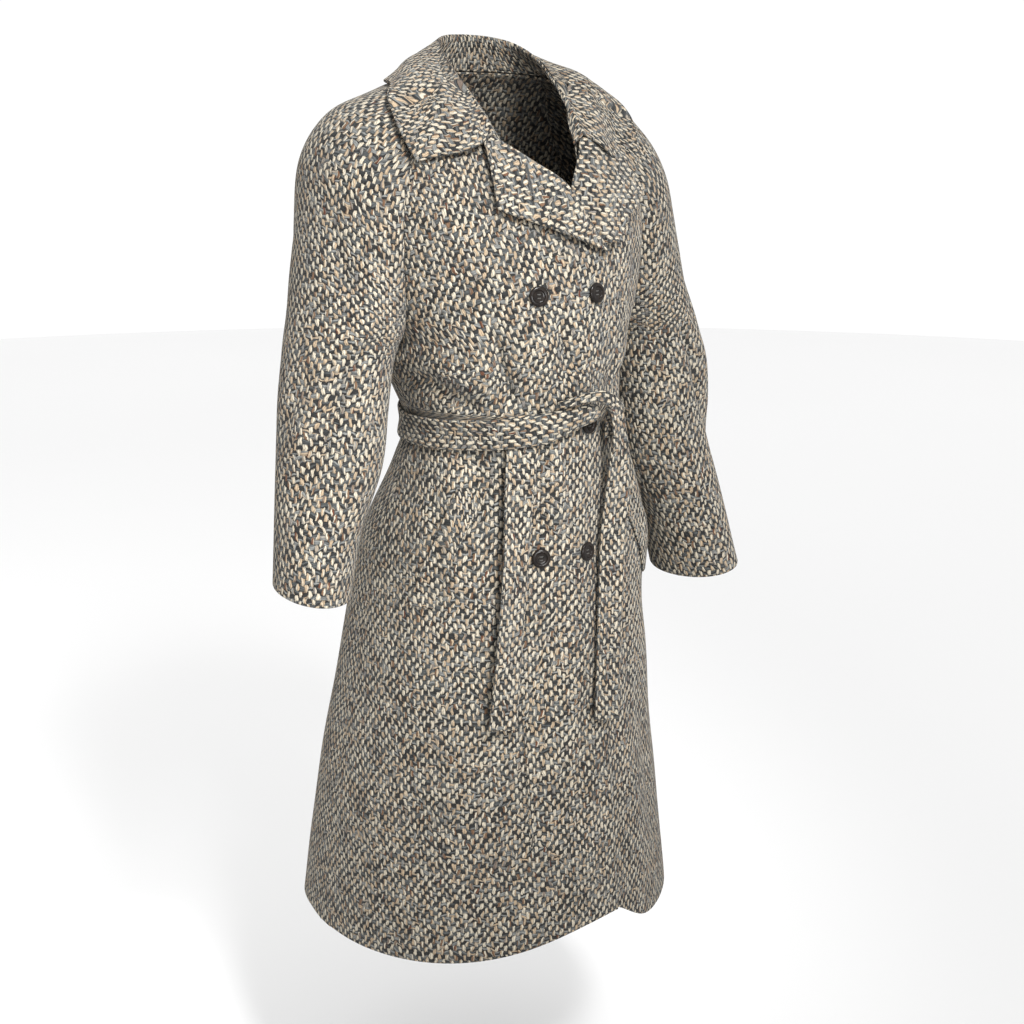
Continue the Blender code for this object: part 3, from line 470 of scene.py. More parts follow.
# Creases pressed into the cloth, as strokes from one end to the other.
# Columns on the fronts and back: x_start, z_start, x_end, z_end, width, rise
CREASES = {
    "front_right": (
        (-0.096, -0.285, -0.066, -0.385, 0.007, -0.0120),
        (-0.112, -0.285, -0.092, -0.372, 0.014, 0.0055),
        (-0.160, -0.345, -0.098, -0.392, 0.008, -0.0100),
        (-0.148, -0.325, -0.100, -0.368, 0.012, 0.0045),
        (-0.016, -0.265, 0.003, -0.355, 0.010, -0.0070),
        (-0.040, -0.280, -0.030, -0.370, 0.017, 0.0050),
        (0.022, -0.300, 0.026, -0.380, 0.013, 0.0030),
        (-0.034, -0.430, -0.033, -0.575, 0.012, -0.0060),
        (-0.012, -0.430, -0.006, -0.560, 0.014, 0.0040),
        (-0.100, -0.430, -0.112, -0.540, 0.011, -0.0055),
        (-0.140, -0.470, -0.176, -0.720, 0.016, -0.0080),
        (-0.123, -0.450, -0.140, -0.640, 0.016, 0.0045),
        (-0.002, -0.600, -0.068, -0.880, 0.026, -0.0080),
        (-0.055, -0.790, -0.082, -1.080, 0.028, -0.0080),
        (0.034, -0.740, 0.006, -0.900, 0.020, -0.0060),
        (-0.140, -0.760, -0.165, -1.080, 0.030, 0.0060),
        (-0.140, -0.190, -0.118, -0.300, 0.016, -0.0045),
        (-0.085, -0.210, -0.060, -0.280, 0.022, 0.0025),
    ),
    "front_left": (
        (0.110, -0.290, 0.092, -0.388, 0.011, -0.0070),
        (0.092, -0.270, 0.080, -0.370, 0.013, 0.0045),
        (0.155, -0.335, 0.100, -0.392, 0.011, -0.0070),
        (0.112, -0.430, 0.128, -0.560, 0.012, -0.0060),
        (0.150, -0.450, 0.170, -0.640, 0.016, 0.0050),
        (0.105, -0.620, 0.130, -0.900, 0.024, -0.0070),
        (0.150, -0.760, 0.172, -1.080, 0.028, -0.0070),
        (0.140, -0.190, 0.120, -0.300, 0.016, -0.0045),
    ),
    "back": (
        (-0.060, -0.300, -0.048, -0.398, 0.012, -0.0075),
        (-0.040, -0.310, -0.034, -0.395, 0.013, 0.0045),
        (0.012, -0.310, 0.004, -0.398, 0.011, -0.0065),
        (0.078, -0.290, 0.058, -0.398, 0.013, -0.0080),
        (0.098, -0.300, 0.078, -0.390, 0.014, 0.0050),
        (-0.130, -0.325, -0.088, -0.400, 0.011, -0.0060),
        (0.132, -0.330, 0.095, -0.400, 0.011, 0.0045),
        (-0.040, -0.435, -0.062, -0.640, 0.015, -0.0075),
        (0.050, -0.435, 0.078, -0.610, 0.015, -0.0070),
        (0.004, -0.435, 0.010, -0.560, 0.013, 0.0045),
        (-0.115, -0.440, -0.140, -0.700, 0.018, -0.0060),
        (0.120, -0.440, 0.150, -0.720, 0.018, -0.0060),
        (-0.030, -0.700, -0.045, -1.060, 0.030, -0.0070),
        (0.060, -0.740, 0.085, -1.080, 0.030, 0.0060),
        (-0.105, -0.120, -0.070, -0.270, 0.020, -0.0045),
        (0.110, -0.130, 0.078, -0.280, 0.020, -0.0050),
    ),
    # Columns on the sleeves: across from the outside line, down from the neck, the same at the end
    "sleeve_right": (
        (-0.118, 0.385, -0.078, 0.510, 0.011, -0.0080),
        (-0.098, 0.455, -0.055, 0.610, 0.012, -0.0085),
        (-0.080, 0.430, -0.040, 0.560, 0.013, 0.0050),
        (-0.045, 0.430, -0.010, 0.540, 0.013, -0.0050),
        (0.055, 0.420, 0.105, 0.510, 0.013, -0.0070),
        (0.080, 0.460, 0.120, 0.540, 0.012, 0.0045),
        (-0.060, 0.240, -0.095, 0.350, 0.016, -0.0055),
        (0.035, 0.550, 0.075, 0.660, 0.014, -0.0055),
        (-0.122, 0.330, -0.095, 0.410, 0.012, 0.0050),
        (0.030, 0.230, 0.070, 0.330, 0.018, -0.0045),
    ),
    "sleeve_left": (
        (-0.108, 0.385, -0.068, 0.530, 0.012, -0.0080),
        (-0.085, 0.470, -0.030, 0.620, 0.013, -0.0075),
        (-0.060, 0.420, -0.020, 0.560, 0.014, 0.0050),
        (-0.040, 0.300, -0.070, 0.420, 0.016, -0.0060),
        (0.045, 0.420, 0.100, 0.530, 0.013, -0.0070),
        (-0.010, 0.590, 0.040, 0.700, 0.015, -0.0060),
        (0.030, 0.250, 0.065, 0.340, 0.018, -0.0045),
    ),
}


def grid_out(grid, facing):
    """Direction away from the cloth at each point of a grid."""
    down = np.gradient(grid, axis=0)
    across = np.gradient(grid, axis=1)
    return unit(np.cross(down, across)) * facing


def lengths(grid, axis):
    """Distance along a grid from its first row or column."""
    steps = np.linalg.norm(np.diff(grid, axis=axis), axis=-1)
    start = np.zeros_like(np.take(steps, [0], axis=axis))
    return np.concatenate([start, np.cumsum(steps, axis=axis)], axis=axis)


def smooth_rows(grid, sigma):
    """Grid softened along its rows' direction, its first and last rows kept."""
    reach = int(3 * sigma)
    weights = np.exp(-0.5 * (np.arange(-reach, reach + 1) / sigma) ** 2)
    weights /= weights.sum()
    before = 2 * grid[:1] - grid[reach:0:-1]
    after = 2 * grid[-1:] - grid[-2:-reach - 2:-1]
    padded = np.concatenate([before, grid, after])
    return sum(w * padded[n:n + len(grid)] for n, w in enumerate(weights))


def stroke_rise(a, b, strokes):
    """How far creases push the cloth out; a and b are places in the strokes' own directions."""
    rise = np.zeros(np.shape(a))
    for a_start, b_start, a_end, b_end, width, height in strokes:
        run = np.array((a_end - a_start, b_end - b_start))
        share = ((a - a_start) * run[0] + (b - b_start) * run[1]) / (run @ run)
        held = np.clip(share, 0, 1)
        aside = np.hypot(a - a_start - held * run[0], b - b_start - held * run[1])
        along = ease(share, -0.15, 0.3) * (1 - ease(share, 0.65, 1.1))
        power = VALLEY_POWER if height < 0 else RIDGE_POWER
        rise = rise + height * np.exp(-(aside / width) ** power) * along
    return rise


def uneven(a, b):
    """Slight unevenness of soft cloth."""
    return sum(np.sin(a * p + b * q + start) for p, q, start in WAVES) / len(WAVES)


def worn_rise(a, b, name):
    """How far the creases of a piece and its unevenness push the cloth out."""
    coat = bpy.context.scene.coat
    return stroke_rise(a, b, CREASES[name]) * coat.crease_depth + uneven(a, b) * coat.unevenness


def body_grain(grid, line_x, tilt=0.0):
    """Weave places of a front or the back: across from the middle, down along the grain line at line_x.

    Above the belt the weave is tilted, where the cloth is drawn in.
    """
    across = lengths(grid, 1)
    u = np.empty_like(across)
    line = np.empty((len(grid), 2))
    for r, (points, run) in enumerate(zip(grid, across)):
        order = np.argsort(points[:, 0])
        x = points[order, 0]
        middle = np.interp(0, x, run[order])
        if x[0] * x[-1] > 0:
            middle = run[-1] + np.abs(points[-1, 0])
        u[r] = (run - middle) * np.sign(points[-1, 0] - points[0, 0])
        line[r] = [np.interp(line_x, x, points[order, axis]) for axis in (1, 2)]
    steps = np.linalg.norm(np.diff(line, axis=0), axis=1)
    down = np.concatenate([[0], np.cumsum(steps)])
    v = np.interp(-grid[..., 2], -line[:, 1], down) + np.maximum(0, line[-1, 1] - grid[..., 2])
    turn = tilt * ease(grid[..., 2], BELT_LEVEL["front"] - 0.01, BELT_LEVEL["front"] + 0.01)
    return np.stack([u * np.cos(turn) - v * np.sin(turn), -u * np.sin(turn) - v * np.cos(turn)], axis=-1)


def sleeve_grain(grid):
    """Weave places of a sleeve: across from its outside line, down along that line."""
    middle = grid.shape[1] // 2
    across = lengths(grid, 1)
    down = lengths(grid, 0)[:, middle]
    u = across - across[:, middle:middle + 1]
    return np.stack([u, np.broadcast_to(-down[:, None], u.shape)], axis=-1)


def strip_grain(grid, turned=False, line=0.5):
    """Weave places of a small piece, true in size along one of its columns; turned swaps the two."""
    middle_row, column = grid.shape[0] // 2, int(grid.shape[1] * line)
    across = lengths(grid, 1)
    down = lengths(grid, 0)[:, column]
    u = across - across[:, column:column + 1]
    v = np.broadcast_to(down[:, None] - down[middle_row], u.shape)
    return np.stack([v, u] if turned else [u, v], axis=-1)


def rim_of(rows, columns, seams):
    """Border of a grid in order, the point inside each, and which of them lie in a seam."""
    borders = {
        "top": [(0, c) for c in range(columns)],
        "last": [(r, columns - 1) for r in range(1, rows)],
        "foot": [(rows - 1, c) for c in range(columns - 2, -1, -1)],
        "first": [(r, 0) for r in range(rows - 2, 0, -1)],
    }
    rim = np.array(sum(borders.values(), []))
    inside = np.clip(rim, 1, (rows - 2, columns - 2))
    sewn = np.concatenate([np.full(len(line), name in seams) for name, line in borders.items()])
    return rim @ (columns, 1), inside @ (columns, 1), sewn[:, None]


def shell(name, grid, facing, thick, grain, seams, materials):
    """Closed piece of cloth under a grid of outer points, with weave places.

    Free edges are rounded; edges in seams stay sharp and reach a little into the next piece.
    """
    rows, columns = grid.shape[:2]
    out = grid_out(grid, facing).reshape(-1, 3)
    outer = grid.reshape(-1, 3).copy()
    places = grain.reshape(-1, 2)
    rim, inside, sewn = rim_of(rows, columns, seams)
    inward = outer[inside] - outer[rim]
    inward = unit(inward - (inward * out[rim]).sum(1, keepdims=True) * out[rim])
    outward_place = places[rim] - places[inside]
    outward_place /= np.maximum(np.linalg.norm(outward_place, axis=1, keepdims=True), 1e-9)
    half = thick / 2
    edge = outer[rim] - inward * np.where(sewn, SEAM_REACH, 0)
    round_off = np.where(sewn, SEAM_ROUND, half)
    outer[rim] = edge + inward * round_off
    points = [outer, outer - out * thick]
    coordinates = [places, places]
    for turn in np.radians((45, 90, 135)):
        inner = inward * round_off * (1 - np.sin(turn))
        points.append(edge + inner - out[rim] * half * (1 - np.cos(turn)))
        coordinates.append(places[rim] + outward_place * half * turn)
    points[1][rim] += inward * round_off
    points, coordinates = np.concatenate(points), np.concatenate(coordinates)
    corner = (np.arange(rows - 1)[:, None] * columns + np.arange(columns - 1)).ravel()
    faces = np.stack([corner, corner + columns, corner + columns + 1, corner + 1], axis=1)
    count = rows * columns
    loops = [rim] + [2 * count + n * len(rim) + np.arange(len(rim)) for n in range(3)] + [rim + count]
    strips = []
    for near, far in zip(loops, loops[1:]):
        strips.append(np.stack([near, np.roll(near, -1), np.roll(far, -1), far], axis=1))
    rim_faces = np.concatenate(strips)
    if facing < 0:
        faces, rim_faces = faces[:, ::-1], rim_faces[:, ::-1]
    everything = np.concatenate([faces, rim_faces, faces[:, ::-1] + count])
    mesh = bpy.data.meshes.new(name)
    mesh.from_pydata(points.tolist(), [], everything.tolist())
    layer = mesh.uv_layers.new(name="weave")
    corners = np.empty(len(mesh.loops), np.int32)
    mesh.loops.foreach_get("vertex_index", corners)
    layer.data.foreach_set("uv", coordinates[corners].astype(np.float32).ravel())
    sides = np.repeat((0, 1), (len(faces) + len(rim_faces), len(faces))).astype(np.int32)
    mesh.polygons.foreach_set("material_index", sides)
    for material in materials:
        mesh.materials.append(material)
    mesh.shade_smooth()
    mesh.update()
    return place(name, mesh)


def place(name, mesh):
    """Object of a mesh, riding on the coat."""
    thing = bpy.data.objects.new(name, mesh)
    bpy.context.scene.collection.objects.link(thing)
    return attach(thing, "root") or thing


def dress(name, grid, facing, thick, grain, slot, seams=(), nodes=None):
    """Cloth piece in place of its solids."""
    coat = bpy.context.scene.coat
    materials = (tweed(coat, slot + "_outside"), tweed(coat, slot + "_inside"))
    thing = shell(name, grid, facing, thick, grain, seams, materials)
    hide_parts(*(nodes or [name.removesuffix("_cloth")]))
    return thing


class Board:
    """Short way to add and join the nodes of a material."""

    def __init__(self, name):
        self.material = bpy.data.materials.new(name)
        self.material.use_nodes = True
        self.tree = self.material.node_tree
        self.shader = self.tree.nodes["Principled BSDF"]

    def feed(self, socket, value):
        """Sets a socket, or joins it to an output."""
        if isinstance(value, bpy.types.NodeSocket):
            self.tree.links.new(value, socket)
        else:
            socket.default_value = value

    def add(self, kind, inputs=None, **settings):
        """New node with its settings and inputs."""
        node = self.tree.nodes.new(kind)
        for name, value in settings.items():
            setattr(node, name, value)
        for name, value in (inputs or {}).items():
            self.feed(node.inputs[name], value)
        return node

    def math(self, operation, *values):
        """Result of a sum on numbers or outputs."""
        node = self.add("ShaderNodeMath", operation=operation)
        for socket, value in zip(node.inputs, values):
            self.feed(socket, value)
        return node.outputs[0]

    def ramp(self, value, stops, constant=False):
        """Colours along a ramp."""
        node = self.add("ShaderNodeValToRGB", {"Fac": value})
        node.color_ramp.interpolation = "CONSTANT" if constant else "LINEAR"
        while len(node.color_ramp.elements) < len(stops):
            node.color_ramp.elements.new(1)
        for element, (position, colour) in zip(node.color_ramp.elements, stops):
            element.position = position
            element.color = (*colour, 1)
        return node.outputs["Color"]

    def mix(self, factor, a, b, blend="MIX"):
        """Two colours mixed."""
        node = self.add("ShaderNodeMix", data_type="RGBA", blend_type=blend)
        self.feed(node.inputs[0], factor)
        self.feed(node.inputs[6], a)
        self.feed(node.inputs[7], b)
        return node.outputs[2]

    def vector(self, operation, a, b):
        """Result of a sum on two vectors."""
        return self.add("ShaderNodeVectorMath", {0: a, 1: b}, operation=operation).outputs[0]

    def noise(self, where, scale, detail, output="Fac"):
        """Soft noise at the given places."""
        node = self.add("ShaderNodeTexNoise", {"Vector": where, "Scale": scale, "Detail": detail})
        return node.outputs[output]

    def stray(self, where, scale, reach):
        """Places moved about by a soft noise."""
        noise = self.noise(where, scale, 2.0, "Color")
        noise = self.vector("SUBTRACT", noise, (0.5, 0.5, 0.5))
        return self.vector("ADD", where, self.vector("MULTIPLY", noise, (reach, reach, reach)))

    def dice(self, column, row, layer):
        """Random value and colour for each oval of a yarn."""
        name = self.add("ShaderNodeCombineXYZ", {0: column, 1: row, 2: layer}).outputs[0]
        return self.add("ShaderNodeTexWhiteNoise", {"Vector": name}, noise_dimensions="3D").outputs

    def chances(self, column, row, layer):
        """Three random numbers for each oval of a yarn."""
        dice = self.dice(column, row, layer)
        return self.add("ShaderNodeSeparateColor", {0: dice["Color"]}).outputs

    def by_chance(self, chance, least, more):
        """Least value, and more by chance."""
        return self.math("MULTIPLY_ADD", chance, more, least)

    def dome(self, across, along):
        """Height of a rounded oval, 1 in its middle and 0 at its edge."""
        across, along = (self.math("MULTIPLY", value, value) for value in (across, along))
        return self.math("SUBTRACT", 1.0, self.math("ADD", across, along))

    def strands(self, across, column, row, count, stops):
        """Colour of the strands of an oval, their roundness, and how far each slips along."""
        shift = self.dice(column, row, 5.0)["Value"]
        spot = self.math("ADD", self.math("MULTIPLY_ADD", across, count / 2, count / 2), shift)
        strand = self.math("FLOOR", spot)
        middle = self.math("SUBTRACT", self.math("SUBTRACT", spot, strand), 0.5)
        dice = self.dice(column, row, self.math("ADD", strand, 7.0))
        slip = self.add("ShaderNodeSeparateColor", {0: dice["Color"]}).outputs[1]
        roundness = self.math("MULTIPLY_ADD", self.math("MULTIPLY", middle, middle), -4.0, 1.0)
        return self.ramp(dice["Value"], stops), roundness, self.math("SUBTRACT", slip, 0.5)

    def hairs(self, where, stretch):
        """Fine fibres along one direction."""
        return self.noise(self.vector("MULTIPLY", where, stretch), 1.0, 3.0)

    def between(self, value, low, high, to_low=0.0, to_high=1.0):
        """Number moved from one range to another, held at its ends."""
        inputs = {"Value": value, "From Min": low, "From Max": high, "To Min": to_low, "To Max": to_high}
        return self.add("ShaderNodeMapRange", inputs, clamp=True).outputs[0]


def tweed(coat, name):
    """Bulky plain weave: pale warp ovals over dark weft, each yarn of a few strands, with shade painted
    into the gaps between yarns, the grooves between strands and the wrong side.
    """
    if name in bpy.data.materials:
        return bpy.data.materials[name]
    look = coat.weave
    board = Board(name)
    sheet = board.add("ShaderNodeUVMap", uv_map="weave").outputs[0]
    moved = board.stray(board.stray(sheet, WANDER_SCALE, look.wander), JITTER_SCALE, look.jitter)
    parts = board.add("ShaderNodeSeparateXYZ", {0: moved})
    x = board.math("DIVIDE", parts.outputs[0], look.warp_spacing)
    y = board.math("DIVIDE", parts.outputs[1], look.weft_spacing)
    column, row = board.math("FLOOR", x), board.math("FLOOR", y)
    beside = board.math("SUBTRACT", board.math("SUBTRACT", x, column), 0.5)
    above = board.math("SUBTRACT", board.math("SUBTRACT", y, row), 0.5)
    odd = board.math("FLOORED_MODULO", board.math("ADD", column, row), 2.0)
    even = board.math("SUBTRACT", 1.0, odd)
    # A warp oval reaches past its own cell above and below, and a weft oval to both sides
    next_row = board.math("MULTIPLY", odd, board.math("SIGN", above))
    next_column = board.math("MULTIPLY", even, board.math("SIGN", beside))
    warp_y = board.math("SUBTRACT", above, next_row)
    weft_x = board.math("SUBTRACT", beside, next_column)
    warp_row = board.math("ADD", row, next_row)
    weft_column = board.math("ADD", column, next_column)
    warp = board.chances(column, warp_row, 3.0)
    weft = board.chances(weft_column, row, 41.0)
    lean = board.by_chance(warp[0], look.lean - WARP_LEAN_CHANCE / 2, WARP_LEAN_CHANCE)
    warp_x = board.math("MULTIPLY_ADD", warp_y, lean, beside)
    half_width = board.by_chance(warp[1], *WARP_HALF_WIDTH)
    half_length = board.by_chance(warp[2], *WARP_HALF_LENGTH)
    weft_y = board.math("MULTIPLY_ADD", weft_x, board.by_chance(weft[0], *WEFT_LEAN), above)
    warp_across = board.math("DIVIDE", warp_x, half_width)
    weft_across = board.math("DIVIDE", weft_y, WEFT_HALF_WIDTH)
    pale, pale_groove, warp_slip = board.strands(
        warp_across, column, warp_row, WARP_STRANDS, look.pale_stops())
    dark, dark_groove, weft_slip = board.strands(
        weft_across, weft_column, row, WEFT_STRANDS, look.dark_stops())
    warp_slid = board.math("MULTIPLY_ADD", warp_slip, WARP_SLIP, warp_y)
    weft_slid = board.math("MULTIPLY_ADD", weft_slip, WEFT_SLIP, weft_x)
    warp_high = board.dome(warp_across, board.math("DIVIDE", warp_slid, half_length))
    weft_high = board.dome(weft_across, board.math("DIVIDE", weft_slid, WEFT_HALF_LENGTH))
    weft_high = board.math("MULTIPLY", weft_high, WEFT_HEIGHT)
    warp_shows = board.between(board.math("SUBTRACT", warp_high, weft_high), -0.12, 0.12)
    fibres = board.hairs(moved, (FIBRES_ACROSS, FIBRES_ALONG, 0.0))
    cross_fibres = board.hairs(moved, (FIBRES_ALONG, FIBRES_ACROSS, 0.0))
    colour = board.mix(warp_shows, dark, pale)
    fuzz = board.mix(warp_shows, cross_fibres, fibres)
    groove = board.mix(warp_shows, dark_groove, pale_groove)
    high = board.math("MAXIMUM", board.math("MAXIMUM", warp_high, weft_high), -0.3)
    # Painted shade: the colour is darkened in the gaps between yarns and in the grooves between strands;
    # fibres and patches then vary the cloth's own tone
    depth = board.between(high, -0.25, 0.6, look.gap_shade, 1.0)
    depth = board.math("MULTIPLY", depth, board.between(groove, 0.0, 0.8, GROOVE_SHADE, 1.0))
    depth = board.math("MULTIPLY", depth, board.between(fuzz, 0.3, 0.7, 0.70, 1.15))
    patches = board.noise(sheet, PATCH_SCALE, 3.0)
    depth = board.math("MULTIPLY", depth, board.between(patches, 0.3, 0.7, 0.90, 1.06))
    # Painted shade: the wrong side of the cloth is a darker copy of the outside
    if name.endswith("_inside"):
        depth = board.math("MULTIPLY", depth, INSIDE_SHADE)
    shade = board.add("ShaderNodeCombineColor", {0: depth, 1: depth, 2: depth}).outputs[0]
    board.feed(board.shader.inputs["Base Color"], board.mix(1.0, colour, shade, "MULTIPLY"))
    relief = board.math("MULTIPLY_ADD", groove, 0.30, board.math("MULTIPLY_ADD", fuzz, 0.30, high))
    bump = board.add("ShaderNodeBump", {"Height": relief, "Strength": look.relief,
                                        "Distance": RELIEF_HEIGHT})
    board.feed(board.shader.inputs["Normal"], bump.outputs[0])
    board.shader.inputs["Roughness"].default_value = 0.95
    board.shader.inputs["Specular IOR Level"].default_value = 0.12
    board.shader.inputs["Sheen Weight"].default_value = 0.10
    board.shader.inputs["Sheen Roughness"].default_value = 0.5
    return board.material


def horn(coat):
    """Dark polished horn with faint brown clouds."""
    if "horn_polished" in bpy.data.materials:
        return bpy.data.materials["horn_polished"]
    board = Board("horn_polished")
    where = board.add("ShaderNodeTexCoord").outputs["Object"]
    clouds = board.noise(where, 160.0, 4.0)
    colour = board.ramp(clouds, ((0.35, coat.buttons.horn), (0.75, coat.buttons.horn_cloud)))
    board.feed(board.shader.inputs["Base Color"], colour)
    scratches = board.noise(where, 900.0, 2.0)
    board.feed(board.shader.inputs["Roughness"], board.between(scratches, 0.3, 0.7, 0.16, 0.26))
    board.shader.inputs["Specular IOR Level"].default_value = 0.20
    return board.material


def thread(name, dark, pale):
    """Sewing thread, with its twist."""
    if name in bpy.data.materials:
        return bpy.data.materials[name]
    board = Board(name)
    where = board.add("ShaderNodeTexCoord").outputs["Object"]
    colour = board.ramp(board.noise(where, 2500.0, 2.0), ((0.3, dark), (0.7, pale)))
    board.feed(board.shader.inputs["Base Color"], colour)
    board.shader.inputs["Roughness"].default_value = 0.7
    return board.material


def front_grid(name, side):
    """Outer points of a front at the scene's sampling, from the seam to the inner edge."""
    coat = bpy.context.scene.coat
    across = np.linspace(0, 1, coat.front_columns)
    row = np.linspace(0, 8, coat.upper_rows)[:, None]
    spot = side + (edge_place(row, side) - side) * across
    upper = chest(np.broadcast_to(row, spot.shape), spot)
    level = np.linspace(UNDERARM, BODY[0][0], coat.lower_rows + 1)[1:, None]
    seam = np.full(level.shape, side * np.pi / 2)
    edge = np.arcsin(-side * FRONT_EDGE / body_ring(level)[0])
    lower = body(seam + (edge - seam) * across, np.broadcast_to(level, (len(level), len(across))))
    return soften(np.concatenate([upper, lower]), name, -side, ease(across, 0, PANEL_FADE))


def soften(grid, name, facing, free):
    """Panel with its bend at the underarm rounded and its creases pressed in; free is 0 at the seams."""
    free = free[None, :, None]
    near = np.exp(-((grid[..., 2:] - UNDERARM) / UNDERARM_SOFT) ** 2)
    grid = grid + (smooth_rows(grid, UNDERARM_ROWS) - grid) * near * free
    out = grid_out(grid, facing)
    return grid + out * worn_rise(grid[..., 0], grid[..., 2], name)[..., None] * free


def fronts():
    """Both fronts, the left one tucked under."""
    for name, side in SIDES.items():
        grid = front_grid("front_" + name, side)
        if side == LEFT:
            from_seam = ease(np.linspace(0, 1, grid.shape[1]), 0, UNDERLAP_REACH)
            under = UNDERLAP * (1 - ease(grid[..., 0], UNDERLAP_FULL, UNDERLAP_NONE)) * from_seam
            grid = grid - grid_out(grid, -side) * under[..., None]
        grain = body_grain(grid, side * GRAIN_LINE, CHEST_TILT[side])
        dress(f"front_{name}_cloth", grid, -side, WALL, grain, "tweed", ("top", "first"),
              (f"front_{name}_top", f"front_{name}_skirt"))


def back():
    """The back, in one piece."""
    coat = bpy.context.scene.coat
    across = np.linspace(1, -1, coat.back_columns)
    upper = spine(*np.broadcast_arrays(np.linspace(0, 8, coat.upper_rows)[:, None], across))
    level = np.linspace(UNDERARM, BODY[0][0], coat.lower_rows + 1)[1:, None]
    level, angle = np.broadcast_arrays(level, np.pi - across * np.pi / 2)
    free = ease(1 - np.abs(across), 0, PANEL_FADE)
    grid = soften(np.concatenate([upper, body(angle, level)]), "back", 1, free)
    grain = body_grain(grid, 0.0)
    dress("back_cloth", grid, 1, WALL, grain, "tweed", ("top", "first", "last"),
          ("back_left_top", "back_right_top", "back_left_skirt", "back_right_skirt"))


def sleeves():
    """Both raglan sleeves."""
    coat = bpy.context.scene.coat
    for name, side in SIDES.items():
        row = np.linspace(0, 12, coat.sleeve_rows)[:, None]
        across = np.linspace(-1, 1, coat.sleeve_columns)
        grid = arm(*np.broadcast_arrays(row, across), side)
        grain = sleeve_grain(grid)
        free = ease(1 - np.abs(across), 0, SLEEVE_FADE)[:, None]
        rise = stroke_rise(grain[..., 0], -grain[..., 1], CREASES["sleeve_" + name]) * coat.crease_depth
        rise = rise + uneven(grain[..., 0] + side, grain[..., 1]) * coat.unevenness
        grid = grid + grid_out(grid, side) * rise[..., None] * free
        dress(f"sleeve_{name}_cloth", grid, side, WALL, grain, "tweed", ("top", "first", "last"))


def collar_half(side, stations, columns):
    """Outer points of half the collar: rows from the front end back, columns from neck to edge."""
    values = curve(np.arange(len(COLLAR)), COLLAR, np.linspace(0, len(COLLAR) - 1, stations))
    row_neck, place_neck, row_edge, place_edge = np.moveaxis(values[:, :4], -1, 0)
    fold = values[:, 4:] * (side, 1, 1)
    row_neck = np.maximum(row_neck, 0)
    neck = cape(row_neck, place_neck, side)
    out = unit(np.cross(np.gradient(fold, axis=0), (0, 0, 1)) * side)
    up = np.array((0, 0, 1.0))
    foot = neck - out * WALL / 2 + up * LAYER_GAP
    turned = fold + out * FOLD_TURNED
    stand = [foot] + [foot + share * (fold - foot) for share in STAND_STEPS]
    stand.append(fold + out * FOLD_OUT + up * FOLD_UP)
    fall = [turned]
    loose = LOOSE_EDGE * (1 - ease(np.linspace(0, 1, stations), *LOOSE_UNTIL))[:, None]
    for share in FALL_STEPS:
        row = row_neck + (row_edge - row_neck) * share ** FALL_SPREAD
        spot = place_neck + (place_edge - place_neck) * share
        lift = DOUBLED + COLLAR_LIFT["edge"] + COLLAR_LIFT["fold"] * (1 - share) + loose * share ** 6
        lying = cape(row, spot, side) + cape_out(row, spot, side) * lift
        fall.append(lying + (turned - neck) * (1 - share) ** FALL_DROP)
    guides = np.stack(stand + fall)
    count = len(guides)
    fine = curve(np.arange(count), guides.reshape(count, -1), np.linspace(0, count - 1, columns))
    return np.moveaxis(fine.reshape(columns, stations, 3), 0, 1)


def collar():
    """Collar with its stand, fold and fall."""
    coat = bpy.context.scene.coat
    right = collar_half(RIGHT, coat.collar_rows, coat.collar_columns)
    left = collar_half(LEFT, coat.collar_rows, coat.collar_columns)
    grid = np.concatenate([right, left[::-1][1:]])
    grain = strip_grain(grid, turned=True, line=FALL_MIDDLE)
    dress("collar_cloth", grid, 1, DOUBLED, grain, "tweed")


def lapels():
    """Lapels turned back on the fronts."""
    coat = bpy.context.scene.coat
    for name, side in SIDES.items():
        table = np.array(LAPEL[side])
        at = np.linspace(0, len(table) - 1, coat.lapel_rows)
        roll = curve(np.arange(len(table)), table[:, :2], at)
        edge = np.stack([np.interp(at, np.arange(len(table)), line) for line in table[:, 2:].T], axis=1)
        along = np.concatenate([roll, smooth_rows(edge, LAPEL_CORNER)], axis=1)
        across = np.linspace(0, 1, coat.lapel_columns)
        x = along[:, :1] + (along[:, 2:3] - along[:, :1]) * across
        level = along[:, 1:2] + (along[:, 3:] - along[:, 1:2]) * across
        sunk = ROLL_SUNK + LEFT_ROLL_SUNK * (side == LEFT) * (1 - ease(at, *LEFT_ROLL_RISES))[:, None]
        lift = DOUBLED + LAPEL_LIFT + LAPEL_ROLL * np.sin(np.pi * across ** 0.6)
        lift = lift + LOOSE_EDGE * across ** 4 - sunk * (1 - ease(across, 0, SUNK_WIDTH))
        grid, _ = on_front(x, level, lift)
        turn = LAPEL_TILT[side]
        places = np.stack([-grid[..., 2], grid[..., 0]], axis=-1)
        grain = places @ np.array(((np.cos(turn), np.sin(turn)), (-np.sin(turn), np.cos(turn))))
        dress(f"lapel_{name}_cloth", grid, -side, DOUBLED, grain, "tweed")


def pockets():
    """Slanted welts on the hips."""
    for name, side in SIDES.items():
        along = np.linspace(0, 1, WELT_ROWS)[:, None]
        angle = np.radians(WELT_FOOT[0] + (WELT_TOP[0] - WELT_FOOT[0]) * along)
        level = WELT_FOOT[1] + (WELT_TOP[1] - WELT_FOOT[1]) * along
        half_turn = WELT_WIDTH / 2 / body_ring(level)[0]
        angle = side * (angle + np.linspace(-1, 1, WELT_COLUMNS) * half_turn)
        level = np.broadcast_to(level, angle.shape)
        grid = body(angle, level)
        rise = worn_rise(grid[..., 0], grid[..., 2], "front_" + name) + WELT_THICK + LAYER_GAP
        grid = grid + normal_of(body, angle, level) * rise[..., None]
        grain = np.stack([grid[..., 0] / np.cos(angle.mean()), grid[..., 2]], axis=-1)
        dress(f"pocket_welt_{name}_cloth", grid, -side, WELT_THICK, grain, "tweed")


